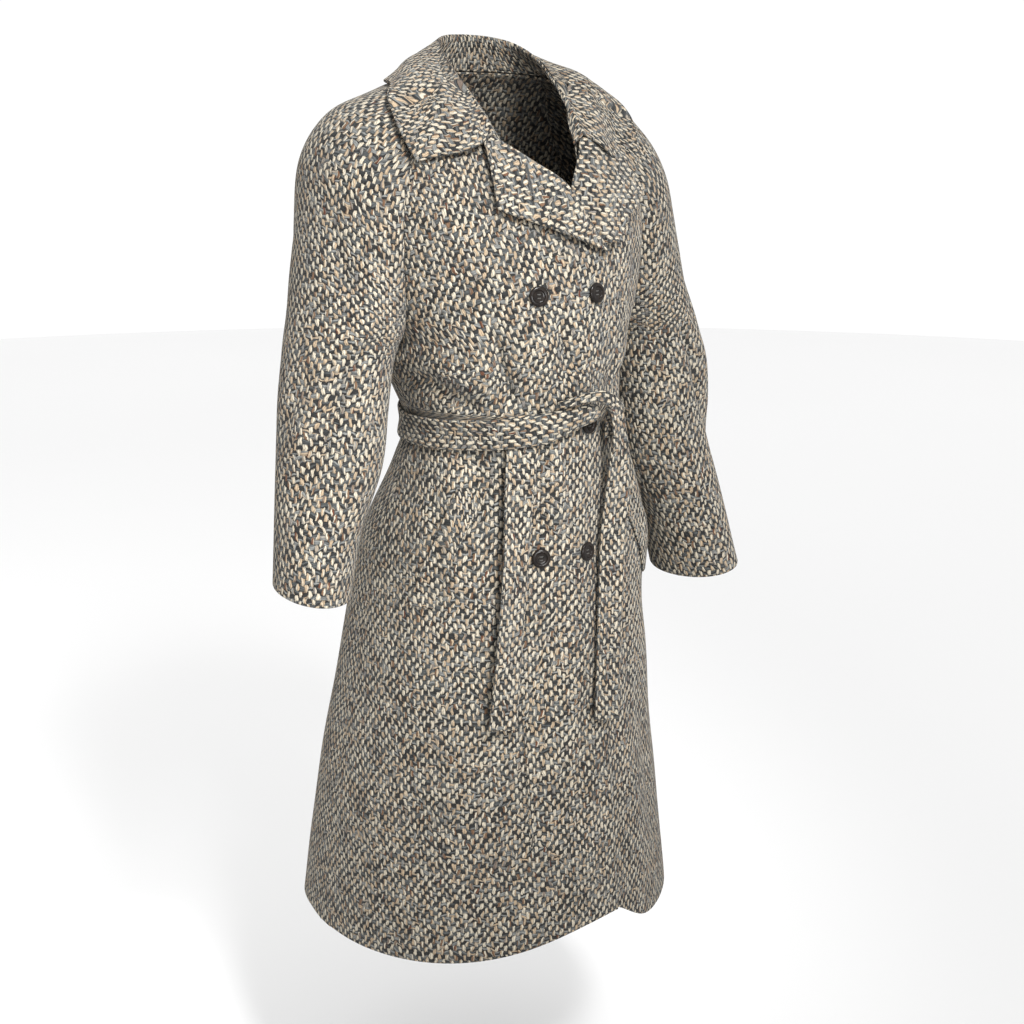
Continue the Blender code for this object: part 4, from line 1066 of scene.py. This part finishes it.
def belt():
    """Belt round the waist with its half-knot, and the two hanging ends."""
    start, end = np.radians(BELT_GAP_ANGLES[1]), np.radians(BELT_GAP_ANGLES[0] + 360)
    angle = np.linspace(start, end, BELT_ROWS)[:, None]
    wrapped = (angle + np.pi) % (2 * np.pi) - np.pi
    middle = BELT_LEVEL["front"] + (BELT_LEVEL["side"] - BELT_LEVEL["front"]) * np.abs(np.sin(angle))
    shares = np.linspace(0.5, -0.5, BELT_COLUMNS)
    level = middle + shares * BELT_WIDTH
    wrapped = np.broadcast_to(wrapped, level.shape)
    near_front = 1 - ease(np.degrees(np.abs(wrapped)), BELT_FRONT_ANGLE - 10, BELT_FRONT_ANGLE)
    lift = BELT_LIFT + (BELT_LIFT_FRONT - BELT_LIFT) * near_front + BELT_THICK
    lift = lift + BELT_PADDING * (1 - (2 * shares) ** 4)
    band = body(wrapped, level) + normal_of(body, wrapped, level) * lift[..., None]
    table = np.array(KNOT_TONGUE)
    path = curve(np.arange(len(table)), table, np.linspace(0, len(table) - 1, TONGUE_ROWS))
    level = path[:, 1:2] + shares * path[:, 3:4]
    lift = path[:, 2:3] + BELT_THICK - KNOT_CROWN * (2 * shares) ** 2
    tongue, _ = on_front(np.broadcast_to(path[:, :1], level.shape), level, lift)
    grid = smooth_rows(np.concatenate([band, tongue]), 1.5)
    dress("belt_band_cloth", grid, -1, BELT_THICK, strip_grain(grid), "belt_tweed",
          nodes=("belt_band", "belt_knot"))
    for name, side in SIDES.items():
        table = np.array(BELT_END[side])
        path = curve(np.arange(len(table)), table, np.linspace(0, len(table) - 1, BELT_END_ROWS))
        spine_line, out = on_front(path[:, 0], path[:, 1], path[:, 2] + BELT_THICK)
        forward = unit(np.gradient(spine_line, axis=0))
        lean = np.radians(path[:, 4, None])
        across = unit(np.cross(out, forward)) * np.cos(lean) + out * np.sin(lean)
        grid = spine_line[:, None] + across[:, None] * path[:, 3, None, None] * -shares[None, :, None]
        dress(f"belt_end_{name}_cloth", grid, 1, BELT_THICK, strip_grain(grid), "belt_tweed")


def turned_button(name):
    """Mesh of a button with a wide rim, a dish and four holes."""
    coat = bpy.context.scene.coat.buttons
    half, radius = BUTTON_THICK / 2, BUTTON_RADIUS
    dish = half - BUTTON_DISH
    # Reach in shares of the radius, and height, from the middle of the dish over the rim to the back
    profile = (
        (0, dish), (0.42, dish), (0.54, dish + 0.0001), (0.60, dish + 0.0006),
        (0.64, half * 0.94), (0.70, half), (0.80, half), (0.92, half * 0.78), (0.98, half * 0.42),
        (1, 0), (0.97, -half * 0.5), (0.85, -half * 0.9), (0.70, -half), (0, -half),
    )
    shape = bmesh.new()
    line = [shape.verts.new((share * radius, 0, height)) for share, height in profile]
    edges = [shape.edges.new(pair) for pair in zip(line, line[1:])]
    bmesh.ops.spin(shape, geom=line + edges, axis=(0, 0, 1), cent=(0, 0, 0), steps=coat.sides,
                   angle=2 * np.pi, use_merge=True)
    bmesh.ops.remove_doubles(shape, verts=shape.verts, dist=1e-6)
    bmesh.ops.recalc_face_normals(shape, faces=shape.faces)
    mesh = bpy.data.meshes.new(name)
    shape.to_mesh(mesh)
    shape.free()
    pins = bmesh.new()
    for x, y in hole_places():
        bmesh.ops.create_cone(pins, cap_ends=True, segments=16, radius1=BUTTON_HOLE, radius2=BUTTON_HOLE,
                              depth=4 * BUTTON_THICK, matrix=Matrix.Translation((x, y, 0)))
    pin_mesh = bpy.data.meshes.new(name + "_pins")
    pins.to_mesh(pin_mesh)
    pins.free()
    blank = bpy.data.objects.new(name, mesh)
    cutter = bpy.data.objects.new(name + "_pins", pin_mesh)
    for thing in (blank, cutter):
        bpy.context.scene.collection.objects.link(thing)
    cut = blank.modifiers.new("holes", "BOOLEAN")
    cut.operation = "DIFFERENCE"
    cut.solver = "EXACT"
    cut.object = cutter
    bpy.context.view_layer.update()
    drilled = bpy.data.meshes.new_from_object(blank.evaluated_get(bpy.context.evaluated_depsgraph_get()))
    for thing in (blank, cutter):
        bpy.data.objects.remove(thing)
    drilled.materials.clear()
    drilled.materials.append(horn(bpy.context.scene.coat))
    drilled.shade_smooth()
    drilled.set_sharp_from_angle(angle=np.radians(40))
    return drilled


def hole_places():
    """Places of a button's four holes."""
    turns = np.pi / 4 + np.arange(4) * np.pi / 2
    return [(BUTTON_HOLE_AT * np.cos(turn), BUTTON_HOLE_AT * np.sin(turn)) for turn in turns]


def tube(path, radius, sides=8):
    """Points and faces of a thread along a path, closed at both ends."""
    path = np.asarray(path, float)
    forward = unit(np.gradient(path, axis=0))
    aside = unit(np.cross(forward, (0.31, 0.83, 0.47)))
    over = np.cross(forward, aside)
    turn = np.arange(sides) * 2 * np.pi / sides
    ring = np.cos(turn)[:, None, None] * aside + np.sin(turn)[:, None, None] * over
    points = (path + radius * ring).transpose(1, 0, 2).reshape(-1, 3)
    faces = []
    for n in range(len(path) - 1):
        for s in range(sides):
            t = (s + 1) % sides
            faces.append((n * sides + s, n * sides + t, (n + 1) * sides + t, (n + 1) * sides + s))
    faces.append(tuple(range(sides))[::-1])
    last = (len(path) - 1) * sides
    faces.append(tuple(range(last, last + sides)))
    return points, faces


def joined(name, tubes, material):
    """One mesh from many tubes."""
    points, faces, count = [], [], 0
    for tube_points, tube_faces in tubes:
        points.append(tube_points)
        faces += [tuple(n + count for n in face) for face in tube_faces]
        count += len(tube_points)
    mesh = bpy.data.meshes.new(name)
    mesh.from_pydata(np.concatenate(points).tolist(), [], faces)
    mesh.materials.append(material)
    mesh.shade_smooth()
    return mesh


def stitch(start, end, aside):
    """Path of a thread up through one hole of a button, over its dish and down another."""
    start, end = (np.array((x, y + aside, 0)) for x, y in (start, end))
    top = BUTTON_THICK / 2 - BUTTON_DISH
    down, low, high = (0, 0, -BUTTON_THICK / 2), (0, 0, top), (0, 0, top + THREAD_RISE)
    return [start + down, start + low, start * 0.8 + end * 0.2 + high,
            start * 0.2 + end * 0.8 + high, end + low, end + down]


def buttons():
    """Six buttons, each sewn on through its four holes."""
    look = bpy.context.scene.coat.buttons
    cord = thread("thread_sewing", look.thread_dark, look.thread_pale)
    lift = np.array(LAYER_GAP + BUTTON_THICK / 2)
    holes = hole_places()
    for row, level, x in BUTTON_ROWS:
        for name, side in SIDES.items():
            node = f"button_{row}_{name}"
            middle, out = on_front(np.array(side * x), np.array(level), lift)
            turn = Vector(out).to_track_quat("Z", "Y").to_matrix().to_4x4()
            stands = Matrix.Translation(Vector(middle)) @ turn
            disc = place(node + "_horn", turned_button(node + "_horn"))
            disc.matrix_world = stands
            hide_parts(node)
            tubes = [tube(stitch(holes[a], holes[b], aside), THREAD_RADIUS)
                     for a, b in ((0, 1), (3, 2)) for aside in (-THREAD_APART, THREAD_APART)]
            sewn = place(node + "_thread", joined(node + "_thread", tubes, cord))
            sewn.matrix_world = stands


def buttonhole(name, start, end, lift):
    """Worked buttonhole lying on the front between two places (x, level)."""
    coat = bpy.context.scene.coat
    start, end = np.array(start), np.array(end)
    run = unit(end - start)
    aside = np.array((-run[1], run[0]))
    tubes = []
    # Painted shadow: a near-black tube along the slit stands in for the shade inside the opening
    slit = start + (end - start) * np.linspace(0.04, 0.96, 14)[:, None]
    line, _ = on_front(slit[:, 0], slit[:, 1], np.full(len(slit), lift))
    cord = thread("slit_shadow", coat.buttons.slit, coat.weave.charcoal)
    place(name + "_slit", joined(name + "_slit", [tube(line, SLIT_RADIUS)], cord))
    count = int(np.linalg.norm(end - start) / coat.buttons.stitch_spacing)
    for side in (-1, 1):
        for share in np.linspace(0, 1, count):
            foot = start + (end - start) * share
            arch = foot + aside * side * np.linspace(SLIT_HALF, coat.buttons.stitch_length, 4)[:, None]
            points, _ = on_front(arch[:, 0], arch[:, 1], lift + np.array(STITCH_ARCH))
            tubes.append(tube(points, STITCH_RADIUS, 6))
    for at, way in ((start, -run), (end, run)):
        bar = at + way * BAR_OUT + aside * np.linspace(-1, 1, 5)[:, None] * coat.buttons.stitch_length
        points, _ = on_front(bar[:, 0], bar[:, 1], np.full(5, lift + BAR_LIFT))
        tubes.append(tube(points, BAR_RADIUS, 6))
    cord = thread("thread_cloth", coat.weave.charcoal, coat.weave.grey)
    place(name, joined(name, tubes, cord))


def buttonholes():
    """Buttonholes of the right front beside the left row of buttons, and one on the right lapel."""
    for row, level, x in BUTTON_ROWS:
        start, end = ((x + reach, level) for reach in HOLE_ENDS)
        buttonhole("buttonhole_" + row, start, end, HOLE_LIFT)
    buttonhole("buttonhole_lapel", *LAPEL_HOLE, DOUBLED + LAPEL_LIFT + LAPEL_ROLL)


def area_light(name, spot, target, energy, beam):
    """Soft square light aimed at a point, with the angle of its beam."""
    lamp = bpy.data.lights.new(name, "AREA")
    lamp.size = LIGHT_SIZE
    lamp.energy = energy
    lamp.spread = beam
    thing = bpy.data.objects.new(name, lamp)
    thing.location = spot
    thing.rotation_euler = (Vector(target) - Vector(spot)).to_track_quat("-Z", "Y").to_euler()
    bpy.context.scene.collection.objects.link(thing)


def stage():
    """Pale floor, soft lights and the camera."""
    view = bpy.context.scene.coat.view
    shape = bmesh.new()
    bmesh.ops.create_circle(shape, cap_ends=True, segments=96, radius=view.floor_radius)
    mesh = bpy.data.meshes.new("floor")
    shape.to_mesh(mesh)
    shape.free()
    board = Board("floor")
    dust = board.add("ShaderNodeTexNoise", {"Scale": 3.0, "Detail": 3.0}).outputs["Fac"]
    paint = board.ramp(dust, ((0.3, (0.90, 0.90, 0.90)), (0.7, (0.93, 0.93, 0.93))))
    board.feed(board.shader.inputs["Base Color"], paint)
    board.shader.inputs["Roughness"].default_value = 0.8
    mesh.materials.append(board.material)
    floor = bpy.data.objects.new("floor", mesh)
    floor.location = (0, 0, view.floor_level)
    bpy.context.scene.collection.objects.link(floor)
    world = bpy.data.worlds.new("studio")
    world.use_nodes = True
    sky = world.node_tree.nodes["Background"]
    sky.inputs["Color"].default_value = (1, 1, 1, 1)
    sky.inputs["Strength"].default_value = view.sky
    bpy.context.scene.world = world
    area_light("key", KEY_SPOT, KEY_AIM, view.key, view.beam)
    area_light("fill", FILL_SPOT, FILL_AIM, view.fill, view.fill_beam)
    turn, tilt = view.turn, view.tilt
    lens = bpy.data.cameras.new("camera")
    lens.sensor_width = 36
    lens.lens = view.lens
    lens.shift_x = view.shift
    camera = bpy.data.objects.new("camera", lens)
    camera.location = (-np.sin(turn) * view.distance, -np.cos(turn) * view.distance, view.height)
    aim = Vector((np.sin(turn) * np.cos(tilt), np.cos(turn) * np.cos(tilt), -np.sin(tilt)))
    camera.rotation_euler = aim.to_track_quat("-Z", "Y").to_euler()
    bpy.context.scene.collection.objects.link(camera)
    bpy.context.scene.camera = camera
    bpy.context.scene.view_settings.view_transform = "Standard"


def tint(name, words, default):
    """Colour property."""
    return FloatVectorProperty(name=name, description=words, default=default, size=3, subtype="COLOR",
                               min=0, max=1)


def distance(name, words, default):
    """Length property in metres."""
    return FloatProperty(name=name, description=words, default=default, unit="LENGTH", precision=5)


def angle(name, words, degrees):
    """Angle property, its default in degrees."""
    return FloatProperty(name=name, description=words, default=np.radians(degrees), subtype="ANGLE")


def number(name, words, default, **limits):
    """Plain number property."""
    return FloatProperty(name=name, description=words, default=default, **limits)


def count(name, words, default, least):
    """Whole number property."""
    return IntProperty(name=name, description=words, default=default, min=least)


class CoatWeave(bpy.types.PropertyGroup):
    """Yarns of the tweed."""

    warp_spacing: distance("Warp spacing", "Distance between warp yarns", 0.0056)
    weft_spacing: distance("Weft spacing", "Distance between weft yarns", 0.0069)
    wander: distance("Wander", "How far the yarns stray from straight", 0.0064)
    jitter: distance("Jitter", "Unevenness of single ovals", 0.0044)
    lean: number("Lean", "Slant of the ovals", -0.16)
    relief: number("Relief", "Strength of the yarns' relief", 0.9, min=0, max=1)
    # Painted shade: share of light the colour keeps in the gaps between yarns
    gap_shade: number("Gap shade", "Light left between yarns", 0.45, min=0, max=1)
    cream: tint("Cream", "Palest warp yarn", (0.54, 0.48, 0.377))
    tan: tint("Tan", "Sandy warp yarn", (0.41, 0.312, 0.21))
    brown: tint("Brown", "Brown strand in the warp", (0.17, 0.10, 0.06))
    grey: tint("Grey", "Grey strand", (0.21, 0.214, 0.205))
    slate: tint("Slate", "Blue-grey weft yarn", (0.082, 0.088, 0.088))
    charcoal: tint("Charcoal", "Dark weft yarn", (0.030, 0.031, 0.031))
    rust: tint("Rust", "Rust-brown fleck", (0.11, 0.040, 0.024))

    def pale_stops(self):
        """Shares of the shades in the warp."""
        return ((0.00, self.cream), (0.50, self.cream), (0.62, self.tan), (0.84, self.tan),
                (0.90, self.grey), (0.95, self.brown), (0.985, self.brown), (1.00, self.rust))

    def dark_stops(self):
        """Shares of the shades in the weft."""
        return ((0.00, self.charcoal), (0.36, self.charcoal), (0.48, self.slate), (0.70, self.slate),
                (0.78, self.grey), (0.95, self.grey), (1.00, self.tan))


class CoatButtons(bpy.types.PropertyGroup):
    """Buttons, buttonholes and their thread."""

    sides: count("Sides", "Steps round a button", 48, 12)
    stitch_spacing: distance("Stitch spacing", "Distance between buttonhole stitches", 0.0011)
    stitch_length: distance("Stitch length", "Length of a buttonhole stitch", 0.0024)
    horn: tint("Horn", "Dark horn", (0.006, 0.005, 0.0045))
    horn_cloud: tint("Horn cloud", "Brown cloud in the horn", (0.018, 0.013, 0.010))
    thread_dark: tint("Thread shade", "Dark side of the thread", (0.030, 0.028, 0.026))
    thread_pale: tint("Thread light", "Pale side of the thread", (0.11, 0.105, 0.095))
    # Painted shadow inside a buttonhole's slit
    slit: tint("Slit", "Dark inside a buttonhole", (0.008, 0.008, 0.008))


class CoatView(bpy.types.PropertyGroup):
    """Camera, lights and floor."""

    turn: angle("Turn", "Camera's turn to the wearer's right", 30)
    tilt: angle("Tilt", "How far the camera looks down", 15)
    distance: distance("Distance", "Camera's distance from the origin's axis", 1.87)
    height: distance("Height", "Camera's height", -0.06)
    lens: number("Lens", "Focal length in millimetres", 49.43)
    shift: number("Shift", "Sideways shift of the picture", 0.0166)
    floor_level: distance("Floor level", "Height of the floor", -1.48)
    floor_radius: distance("Floor radius", "Reach of the floor", 9.0)
    sky: number("Sky", "Strength of the light from all round", 1.02)
    key: number("Key", "Power of the main light in watts", 7.2)
    beam: angle("Beam", "Angle of the main light's beam", 52)
    fill: number("Fill", "Power of the second light in watts", 1.1)
    fill_beam: angle("Fill beam", "Angle of the second light's beam", 36)


class CoatSettings(bpy.types.PropertyGroup):
    """Cloth of the coat and how finely it is made."""

    weave: PointerProperty(type=CoatWeave)
    buttons: PointerProperty(type=CoatButtons)
    view: PointerProperty(type=CoatView)
    crease_depth: number("Crease depth", "Depth of the creases, 1 as shown", 1.0)
    unevenness: distance("Unevenness", "Slight waves all over the cloth", 0.0012)
    upper_rows: count("Upper rows", "Rows above the underarm", 100, 20)
    lower_rows: count("Lower rows", "Rows below the underarm", 220, 20)
    front_columns: count("Front columns", "Columns of a front", 112, 10)
    back_columns: count("Back columns", "Columns of the back", 139, 11)
    sleeve_rows: count("Sleeve rows", "Rows of a sleeve", 190, 20)
    sleeve_columns: count("Sleeve columns", "Columns of a sleeve", 111, 11)
    collar_rows: count("Collar rows", "Rows of half the collar", 90, 10)
    collar_columns: count("Collar columns", "Columns of the collar", 60, 10)
    lapel_rows: count("Lapel rows", "Rows of a lapel", 96, 8)
    lapel_columns: count("Lapel columns", "Columns of a lapel", 40, 6)


class COAT_OT_fronts(bpy.types.Operator):
    """Make both fronts"""

    bl_idname = "coat.fronts"
    bl_label = "Fronts"

    def execute(self, context):
        fronts()
        return {"FINISHED"}


class COAT_OT_back(bpy.types.Operator):
    """Make the back"""

    bl_idname = "coat.back"
    bl_label = "Back"

    def execute(self, context):
        back()
        return {"FINISHED"}


class COAT_OT_sleeves(bpy.types.Operator):
    """Make both sleeves"""

    bl_idname = "coat.sleeves"
    bl_label = "Sleeves"

    def execute(self, context):
        sleeves()
        return {"FINISHED"}


class COAT_OT_collar(bpy.types.Operator):
    """Make the collar"""

    bl_idname = "coat.collar"
    bl_label = "Collar"

    def execute(self, context):
        collar()
        return {"FINISHED"}


class COAT_OT_lapels(bpy.types.Operator):
    """Make both lapels"""

    bl_idname = "coat.lapels"
    bl_label = "Lapels"

    def execute(self, context):
        lapels()
        return {"FINISHED"}


class COAT_OT_pockets(bpy.types.Operator):
    """Make the pocket welts"""

    bl_idname = "coat.pockets"
    bl_label = "Pocket Welts"

    def execute(self, context):
        pockets()
        return {"FINISHED"}


class COAT_OT_belt(bpy.types.Operator):
    """Make the belt, its knot and its ends"""

    bl_idname = "coat.belt"
    bl_label = "Belt"

    def execute(self, context):
        belt()
        return {"FINISHED"}


class COAT_OT_buttons(bpy.types.Operator):
    """Make the buttons and sew them on"""

    bl_idname = "coat.buttons"
    bl_label = "Buttons"

    def execute(self, context):
        buttons()
        return {"FINISHED"}


class COAT_OT_buttonholes(bpy.types.Operator):
    """Work the buttonholes"""

    bl_idname = "coat.buttonholes"
    bl_label = "Buttonholes"

    def execute(self, context):
        buttonholes()
        return {"FINISHED"}


class COAT_OT_stage(bpy.types.Operator):
    """Make the floor, lights and camera"""

    bl_idname = "coat.stage"
    bl_label = "Stage"

    def execute(self, context):
        stage()
        return {"FINISHED"}


OPERATORS = (COAT_OT_fronts, COAT_OT_back, COAT_OT_sleeves, COAT_OT_collar, COAT_OT_lapels,
             COAT_OT_pockets, COAT_OT_belt, COAT_OT_buttons, COAT_OT_buttonholes, COAT_OT_stage)


class COAT_PT_sidebar(bpy.types.Panel):
    """Coat's sizes, colours and pieces"""

    bl_idname = "COAT_PT_sidebar"
    bl_label = "Belted Coat"
    bl_space_type = "VIEW_3D"
    bl_region_type = "UI"
    bl_category = "Coat"

    def draw(self, context):
        coat = context.scene.coat
        for group in (coat, coat.weave, coat.buttons, coat.view):
            box = self.layout.box()
            for name, prop in group.bl_rna.properties.items():
                if prop.type in {"FLOAT", "INT"}:
                    box.prop(group, name)
        for operator in OPERATORS:
            self.layout.operator(operator.bl_idname)


CLASSES = (CoatWeave, CoatButtons, CoatView, CoatSettings) + OPERATORS + (COAT_PT_sidebar,)


def register():
    for cls in CLASSES:
        bpy.utils.register_class(cls)
    bpy.types.Scene.coat = PointerProperty(type=CoatSettings)


def unregister():
    del bpy.types.Scene.coat
    for cls in reversed(CLASSES):
        bpy.utils.unregister_class(cls)


def main():
    register()
    bpy.ops.coat.fronts()
    bpy.ops.coat.back()
    bpy.ops.coat.sleeves()
    bpy.ops.coat.collar()
    bpy.ops.coat.lapels()
    bpy.ops.coat.pockets()
    bpy.ops.coat.belt()
    bpy.ops.coat.buttons()
    bpy.ops.coat.buttonholes()
    bpy.ops.coat.stage()
    bpy.context.view_layer.update()


if __name__ == "__main__":
    main()
